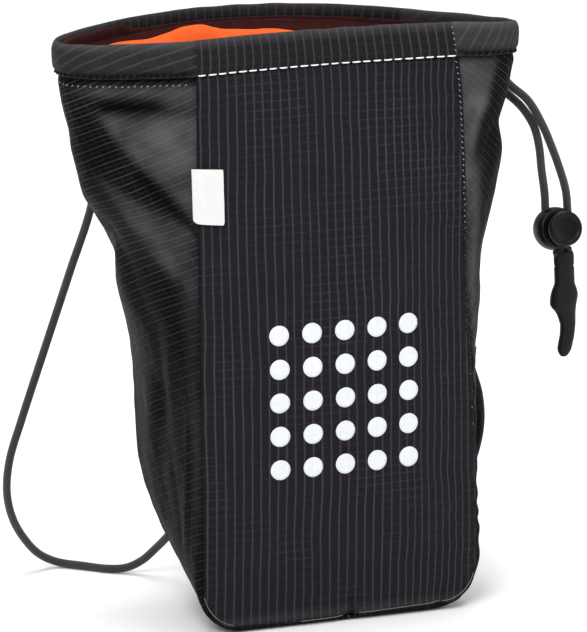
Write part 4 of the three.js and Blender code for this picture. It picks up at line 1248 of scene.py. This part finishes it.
def stitch_parts(line, normals, length, pitch, radius, start=0.0, flat=0.7, lift=0.1, tilt=0.0, sides=8):
    """Threads laid on a line: each dips into the cloth at both of its ends."""
    run = np.concatenate([[0], np.cumsum(np.linalg.norm(np.diff(line, axis=0), axis=1))])
    parts = []
    at = start
    rng = np.random.RandomState(7)
    while at + length < run[-1]:
        ln = length * (0.92 + 0.12 * rng.rand())
        t = np.linspace(0, 1, 9)
        s = at + t * ln
        c = np.stack([np.interp(s, run, line[:, k]) for k in range(3)], 1)
        n = np.stack([np.interp(s, run, normals[:, k]) for k in range(3)], 1)
        n /= np.linalg.norm(n, axis=1)[:, None]
        tan = c[-1] - c[0]
        tan /= np.linalg.norm(tan)
        side = np.cross(n, tan)
        side /= np.linalg.norm(side, axis=1)[:, None]
        c = c + side * ((t - 0.5) * 2 * tilt)[:, None]
        rise = (lift + radius * flat) * np.sin(np.pi * t) ** 0.5 - radius * 0.6
        r = radius * (0.45 + 0.55 * np.sin(np.pi * t) ** 0.4)
        th = np.arange(sides) * 2 * math.pi / sides
        ring = c[:, None, :] + n[:, None, :] * (rise[:, None, None] + np.sin(th)[None, :, None] * (r * flat)[:, None, None]) + side[:, None, :] * (np.cos(th)[None, :, None] * r[:, None, None])
        f = quads(9, sides, wrap_cols=True, flip=True)
        first = np.stack([np.arange(sides // 2 - 1), np.arange(1, sides // 2), sides - 1 - np.arange(1, sides // 2), sides - 1 - np.arange(sides // 2 - 1)], 1)
        last = first[:, ::-1] + 8 * sides
        parts.append({"points": ring.reshape(-1, 3), "faces": np.vstack([f, first, last])})
        at += pitch
    return parts


def trim(name, parts, material, body="bag"):
    p, f, _ = join_meshes(parts)
    ob = build(name, p, f, material)
    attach(ob, body)
    return ob


def hem_line(side, up, u0, u1, lift=0.0):
    """Points and outward directions on the outside of the hem, u mm from the side's start."""
    outer = [k for k in range(len(HEM_SHAPE)) if HEM_SHAPE[k, 0] < 0.45 and k < len(HEM_SHAPE) // 2 + 2]
    ups = HEM_SHAPE[outer, 1]
    cols = np.where(HEM_SIDES == side)[0]
    order = np.argsort(ups)
    grid = HEM_RINGS[np.array(outer)[order]][:, cols]
    ups = ups[order]
    fi = np.interp(up, ups, np.arange(len(ups)))
    i0 = int(np.clip(math.floor(fi), 0, len(ups) - 2))
    row = grid[i0] * (1 - (fi - i0)) + grid[i0 + 1] * (fi - i0)
    d = HEM_DIST[cols]
    u = np.linspace(u0, u1, max(int(abs(u1 - u0) / 0.4), 4))
    p = np.stack([np.interp(u, d, row[:, k]) for k in range(3)], 1)
    t = np.gradient(p, axis=0)
    n = np.stack([t[:, 1], -t[:, 0], 0 * t[:, 0]], 1) * (1 if u1 > u0 else -1)
    n /= np.linalg.norm(n, axis=1)[:, None]
    return p + n * lift, n


def left_line(z, u0, u1):
    """Points and outward directions on the left side at one height."""
    n = len(ZS)
    f = np.interp(z, ZS, np.arange(n))
    i0 = int(min(math.floor(f), n - 2))
    row = lambda g: g[n - 1 - i0] * (1 - (f - i0)) + g[n - 2 - i0] * (f - i0)
    p, w = row(STRIP_OUT), row(IN_STRIP)
    d = np.concatenate([[0], np.cumsum(np.linalg.norm(np.diff(p, axis=0), axis=1))])
    u = np.arange(u0, min(u1, d[-1]), 0.4)
    at = np.stack([np.interp(u, d, p[:, k]) for k in range(3)], 1)
    out = -np.stack([np.interp(u, d, w[:, k]) for k in range(3)], 1)
    return at, out / np.linalg.norm(out, axis=1)[:, None]


def stitches():
    w_front = float(HEM_WIDTHS[HEM_SIDES == "front"][0])
    line, n = hem_line("front", 0.03, 0.4, w_front - 0.3)
    white = stitch_parts(line, n, 2.75, 3.3, 0.235, start=0.0, lift=0.14)
    trim("hem_stitching_white", white, WHITE_THREAD)
    dark, glints = [], []
    w_left = float(HEM_WIDTHS[HEM_SIDES == "left"][0])
    w_right = float(HEM_WIDTHS[HEM_SIDES == "right"][0])
    for side, w in (("left", w_left), ("right", w_right)):
        line, n = hem_line(side, 0.08, 1.0, w - 1.0)
        dark += stitch_parts(line, n, 1.5, 2.0, 0.46, start=0.4, lift=0.16, tilt=0.3)
        if side == "left":
            # painted glints: short pale threads below the left hem
            line2, n2 = left_line(167.9, 2.0, 62.0)
            glints += stitch_parts(line2, n2, 0.7, 1.9, 0.14, start=1.0, lift=0.12, tilt=0.2)
    # ladder of the right front seam, with short pale threads as painted glints on its stitches
    z = np.linspace(SHELL_TOP - 0.5, 118.0, 260)
    w = np.interp(z, ZS, panel_width("front", ZS))
    line, n = on_front(w - 0.9, z)
    glints += stitch_parts(line, n, 0.62, 1.75, 0.16, start=0.5, lift=0.22, tilt=0.25)
    hem_r, n_r = [], []
    for up in np.linspace(0.9, 0.15, 30):
        p, nn = hem_line("front", up, w_front - 0.9, w_front - 0.5)
        hem_r.append(p[0])
        n_r.append(nn[0])
    glints += stitch_parts(np.array(hem_r), np.array(n_r), 0.62, 1.75, 0.15, start=0.2, lift=0.14, tilt=0.2)
    bars = []
    for zb in np.arange(56.0, 134.0, 1.75):
        wb = float(np.interp(zb, ZS, panel_width("front", ZS)))
        lb, nb = on_front(np.linspace(wb - 1.7, wb - 0.35, 8), np.full(8, zb))
        bars += stitch_parts(lb, nb, 1.1, 5.0, 0.2, start=0.1, lift=0.16)
        if int(zb * 4) % 3 == 0:
            glints += stitch_parts(lb[3:], nb[3:], 0.3, 5.0, 0.12, start=0.1, lift=0.3)
    dark += bars
    trim("hem_stitching_dark", dark, DARK_THREAD)
    trim("seam_stitching_glints", glints, GLINT_THREAD)
    # painted highlight: a thin pale tube along the front panel's edge at its rounded lower corners and along the
    # bottom
    edges = []
    for run_x, z_from, z_to in ((( -43.2, -34.0), 8.0, 2.5), ((-12.0, 1.6), 1.7, 1.9), ((6.8, 33.0), 2.4, 3.0), ((34.0, 44.6), 3.0, 17.0)):
        x = np.linspace(run_x[0], run_x[1], 60)
        if run_x[0] < -40:
            zc = BASE_DROP + 1.0 + CORNER["front_left"] * (1 - np.sqrt(np.clip(1 - (np.clip(-31.0 - x, 0, 12.3) / 12.5) ** 2, 0, 1)))
        elif run_x[0] > 33:
            zc = BASE_DROP + 1.4 + CORNER["front_right"] * (1 - np.sqrt(np.clip(1 - (np.clip(x - 32.7, 0, 12.7) / 13.0) ** 2, 0, 1)))
        else:
            zc = np.linspace(z_from, z_to, 60)
        left = plan(zc)["fl"][:, 0]
        p, n = on_front(np.maximum(x - left, 0.15), zc, 0.12)
        edges.append(tube_part(p, 0.10, 8))
    ep, ef, _ = join_meshes(edges)
    ob = build("front_edge_highlight", ep, ef, EDGE_HIGHLIGHT_THREAD)
    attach(ob, "bag")


stitches()


# ---------------------------------------------------------------- print: plain dots
def make_print():
    centre = seen_at(345, 397, -20.0)
    z0 = centre[2]
    left = plan(np.array([z0]))["fl"][0, 0]
    u_mid = centre[0] - left
    parts = []
    pitch, radius, count = 10.4, 3.1, 5
    for a in range(count):
        for b in range(count):
            u0 = u_mid + (a - (count - 1) / 2) * pitch
            zc = z0 + (b - (count - 1) / 2) * pitch
            rings, sides = 5, 32
            th = np.arange(sides) * 2 * math.pi / sides
            r = np.linspace(0.04, 1, rings) * radius
            uu = u0 + r[:, None] * np.cos(th)[None, :]
            zz = zc + r[:, None] * np.sin(th)[None, :]
            top, _ = on_front(uu, zz, np.full(uu.shape, 0.16))
            skirt, _ = on_front(uu[-1:], zz[-1:], np.full((1, sides), -0.1))
            pts = np.vstack([top.reshape(-1, 3), skirt.reshape(-1, 3)])
            f = quads(rings + 1, sides, wrap_cols=True, flip=True)
            half = sides // 2
            cap = np.stack([np.arange(half - 1), np.arange(1, half), sides - 1 - np.arange(1, half), sides - 1 - np.arange(half - 1)], 1)
            faces = np.vstack([f, cap])
            uv_pt = np.vstack([np.stack([uu, zz], -1).reshape(-1, 2), np.stack([uu[-1], zz[-1]], -1)])
            parts.append({"points": pts, "faces": faces, "uv": uv_pt[faces.reshape(-1)]})
    p, f, uv = join_meshes(parts)
    ob = build("dot_print", p, f, WHITE_PRINT, uv)
    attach(ob, "bag")


make_print()

# ---------------------------------------------------------------- label
LABEL = {"left": -44.9, "right": -35.1, "bottom": 126.8, "top": 143.0}


def make_label():
    across, up = 24, 40
    t = np.linspace(0, 1, across + 1)[None, :]
    k = np.linspace(0, 1, up + 1)[:, None]
    # rounded lower corners and a slight taper to the bottom
    z = LABEL["bottom"] + (LABEL["top"] - LABEL["bottom"]) * k - 0.9 * (t - 0.5)
    narrow = 0.5 * (1 - k)
    corner = 1.3 * (1 - np.clip(k * 16.2 / 1.4, 0, 1)) ** 2
    x = (LABEL["left"] - 0.35 * (1 - k) + corner) + (LABEL["right"] - LABEL["left"] - 0.3 * (1 - k) - corner * 1.3) * t
    p = plan(z)
    u = np.clip(x - p["fl"][..., 0], 0, None)
    base, out = on_front(u, z)
    y = base[..., 1] - 0.5 - 0.25 * np.sin(np.pi * t) * (1 - k) ** 2 - 0.35 * t**2 * (1 - k) - 0.12 * lattice_noise(x, z, 5.0, 81)
    front = np.stack([x + 0 * z, y - 0.75, z], -1)
    way = np.zeros(front.shape)
    way[..., 1] = 1.0
    uv = np.stack(np.broadcast_arrays(x, z), -1)
    ob = wall("label_tab", front, way, 0.7, LABEL_CLOTH, uv)
    mod = ob.modifiers.new("round", "BEVEL")
    mod.width, mod.segments, mod.limit_method, mod.angle_limit = 0.00022, 2, "ANGLE", math.radians(50)
    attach(ob, "bag")
    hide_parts("label")


make_label()

# ---------------------------------------------------------------- webbing loop on the right side
SIDE_LOOP = {"y": 11.0, "width": 19.0, "bottom": 23.0, "top": 76.0, "bow": 5.8, "thick": 1.2, "off": 0.4}


def gusset_x(y, z):
    lo, hi = np.zeros(np.shape(y)), np.ones(np.shape(y))
    for _ in range(34):
        mid = (lo + hi) / 2
        below = shell("right", mid, z)[..., 1] < y
        lo, hi = np.where(below, mid, lo), np.where(below, hi, mid)
    return shell("right", (lo + hi) / 2, z)[..., 0]


def make_side_loop():
    steps, across = 130, 32
    t = np.linspace(0, 1, steps + 1)[:, None]
    c = np.linspace(-0.5, 0.5, across + 1)[None, :]
    z = SIDE_LOOP["bottom"] + (SIDE_LOOP["top"] - SIDE_LOOP["bottom"]) * t + 0 * c
    y = SIDE_LOOP["y"] + c * SIDE_LOOP["width"] + 0 * t
    flat = np.clip((t - 0.1) / 0.8, 0, 1)
    bow = SIDE_LOOP["bow"] * np.sin(np.pi * flat) ** 1.1
    own = gusset_x(y, z)
    base = np.max([gusset_x(np.full(z.shape, SIDE_LOOP["y"] + (k / 4 - 0.5) * SIDE_LOOP["width"]), z) for k in range(5)], axis=0)
    share = np.minimum(bow / 3, 1)
    x = own * (1 - share) + base * share + SIDE_LOOP["off"] + bow
    rib = 0.05 * np.sin(2 * math.pi * (c * SIDE_LOOP["width"]) / 1.9) + 0.03 * np.sin(2 * math.pi * z / 1.3)
    x = x + SIDE_LOOP["thick"] * 0.95 + rib * np.clip((0.5 - np.abs(c)) * 12, 0, 1) - 0.25 * np.exp(-((0.5 - np.abs(c)) * SIDE_LOOP["width"] / 0.5) ** 2)
    front = np.stack([x, y, z], -1)
    way = np.zeros(front.shape)
    way[..., 0] = -1.0
    length = np.concatenate([[0], np.cumsum(np.linalg.norm(np.diff(front[:, across // 2], axis=0), axis=1))])
    uv = np.stack(np.broadcast_arrays(c * SIDE_LOOP["width"], length[:, None]), -1)
    # grid rows go up and columns go front to back, so the outside faces +X
    ob = wall("side_loop_webbing", front, way, 1.05, WEBBING, uv)
    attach(ob, "bag")
    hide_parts("side_loop")
    return front


make_side_loop()

# ---------------------------------------------------------------- cord lock
LOCK = {"at": (77.7, 0.2, 111.4), "tilt": 13.5}


def lathe(profile, sides, ribs=None):
    """profile rows are radius and height along the lock's axis, which points to the front."""
    prof = np.array(profile, float)
    a = math.radians(LOCK["tilt"])
    axis = np.array([0, -math.cos(a), math.sin(a)])
    e1 = np.array([1.0, 0, 0])
    e2 = np.cross(axis, e1)
    th = np.arange(sides) * 2 * math.pi / sides
    ring = np.cos(th)[:, None] * e1 + np.sin(th)[:, None] * e2
    r = np.maximum(prof[:, 0], 0.02)[:, None] * np.ones(sides)[None, :]
    if ribs is not None:
        r = r + ribs(prof, th)
    pts = np.array(LOCK["at"]) + axis * prof[:, 1][:, None, None] + r[..., None] * ring[None]
    faces = quads(len(prof), sides, wrap_cols=True)
    half = sides // 2
    cap = np.stack([np.arange(half - 1), np.arange(1, half), sides - 1 - np.arange(1, half), sides - 1 - np.arange(half - 1)], 1)
    last = (len(prof) - 1) * sides
    return {"points": pts.reshape(-1, 3), "faces": np.vstack([faces, cap[:, ::-1], cap + last])}


def rounded(profile, parts=5, keep=0.35):
    """Cuts each corner of an open profile to a short arc."""
    p = np.array(profile, float)
    out = [p[0]]
    for i in range(1, len(p) - 1):
        a, b, c = p[i - 1], p[i], p[i + 1]
        d1, d2 = np.linalg.norm(b - a), np.linalg.norm(c - b)
        k = min(keep, d1 * 0.45, d2 * 0.45)
        s, e = b + (a - b) / d1 * k, b + (c - b) / d2 * k
        for t in np.linspace(0, 1, parts):
            out.append((1 - t) ** 2 * s + 2 * t * (1 - t) * b + t * t * e)
    out.append(p[-1])
    return np.array(out)


def make_lock():
    body = rounded([(0, -4.6), (3.6, -4.6), (5.6, -3.4), (6.5, -1.4), (6.7, 0.4), (6.55, 2.6), (5.95, 4.55), (4.5, 4.55), (3.98, 4.1), (3.98, -3.5), (0, -3.5)], 6, 0.7)
    part = lathe(body, 96)
    ob = build("lock_barrel", part["points"], part["faces"], LOCK_PLASTIC, sharp_deg=50)
    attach(ob, "bag")
    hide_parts("cord_lock_body")
    button = rounded([(0, -0.6), (3.55, -0.6), (3.55, 7.75), (5.0, 7.75), (5.4, 8.2), (5.4, 9.2), (4.75, 9.88), (4.2, 9.86), (3.8, 9.45), (2.2, 9.3), (0, 9.25)], 6, 0.35)
    part = lathe(button, 96)
    top = build("lock_push_button", part["points"], part["faces"], LOCK_PLASTIC, sharp_deg=50)
    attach(top, "lock_button")
    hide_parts("cord_lock_button")
    return ob, top


LOCK_BODY, LOCK_BUTTON = make_lock()

PULL_END = [
    (104.4, 80.6, 2.7, 2.0), (103.6, 80.7, 3.2, 2.3), (101.6, 80.8, 3.2, 2.4), (94.0, 81.1, 3.15, 2.4), (92.2, 81.1, 4.0, 2.9), (90.2, 81.0, 4.4, 3.2),
    (87.3, 80.6, 4.2, 3.1), (84.9, 81.6, 3.0, 2.5), (81.4, 82.3, 2.4, 1.9), (77.7, 82.1, 2.25, 1.8), (74.0, 81.3, 2.3, 1.8),
    (72.2, 81.1, 1.9, 1.5), (71.2, 81.0, 0.9, 0.8),
]


def make_pull_end():
    table = np.array(PULL_END[::-1])
    z = np.concatenate([[71.2, 71.35, 71.6, 72.0], np.arange(72.4, 103.8, 0.35), [103.9, 104.15, 104.3, 104.4]])
    x, w, d = (np.interp(z, table[:, 0], table[:, k]) for k in (1, 2, 3))
    # soften the straight runs between the table's rows
    for arr in (x, w, d):
        for _ in range(6):
            arr[2:-3] = (arr[1:-4] + 2 * arr[2:-3] + arr[3:-2]) / 4
    sides = 64
    th = np.arange(sides) * 2 * math.pi / sides
    ribs = 0.13 * (np.abs(np.sin(th * 6)) - 0.5)[None, :] * (1 - smoothstep(z, 84.0, 88.0) * 0.55)[:, None] * smoothstep(z, 71.6, 73.0)[:, None]
    band = -0.22 * np.exp(-((z - 99.6) / 0.4) ** 2)
    rx = (w + band)[:, None] + ribs
    ry = (d + band)[:, None] + ribs
    pts = np.stack([x[:, None] + rx * np.cos(th), -0.2 + ry * np.sin(th), z[:, None] + 0 * th], -1)
    faces = quads(len(z), sides, wrap_cols=True)
    half = sides // 2
    cap = np.stack([np.arange(half - 1), np.arange(1, half), sides - 1 - np.arange(1, half), sides - 1 - np.arange(half - 1)], 1)
    ob = build("pull_end_moulding", pts.reshape(-1, 3), np.vstack([faces, cap[:, ::-1], cap + (len(z) - 1) * sides]), PULL_RUBBER, sharp_deg=60)
    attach(ob, "bag")
    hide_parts("pull_end")
    return ob


PULL_OB = make_pull_end()

# ---------------------------------------------------------------- floor and light


def studio():
    me = bpy.data.meshes.new("floor")
    r = 30.0
    me.from_pydata([(-r, -r, 0), (r, -r, 0), (r, r, 0), (-r, r, 0)], [], [(0, 1, 2, 3)])
    me.materials.append(FLOOR)
    floor = bpy.data.objects.new("floor", me)
    bpy.context.scene.collection.objects.link(floor)

    def area(name, at, size, power, aim=(0, 0, 0.09)):
        data = bpy.data.lights.new(name, "AREA")
        data.shape = "RECTANGLE"
        data.size, data.size_y = size
        data.energy = power
        ob = bpy.data.objects.new(name, data)
        ob.location = at
        ob.rotation_mode = "QUATERNION"
        ob.rotation_quaternion = (Vector(aim) - Vector(at)).to_track_quat("-Z", "Y")
        bpy.context.scene.collection.objects.link(ob)

    area("key", (-0.9, -1.1, 1.3), (0.9, 0.9), 24)
    area("fill", (1.3, -1.0, 0.8), (1.0, 1.0), 9)
    area("top", (0.1, 0.3, 1.8), (1.4, 1.4), 27)
    world = bpy.data.worlds.new("studio")
    bpy.context.scene.world = world
    world.use_nodes = True
    bpy.context.scene.view_settings.view_transform = "Standard"
    world.node_tree.nodes["Background"].inputs[0].default_value = (1, 1, 1, 1)
    world.node_tree.nodes["Background"].inputs[1].default_value = 0.42


studio()
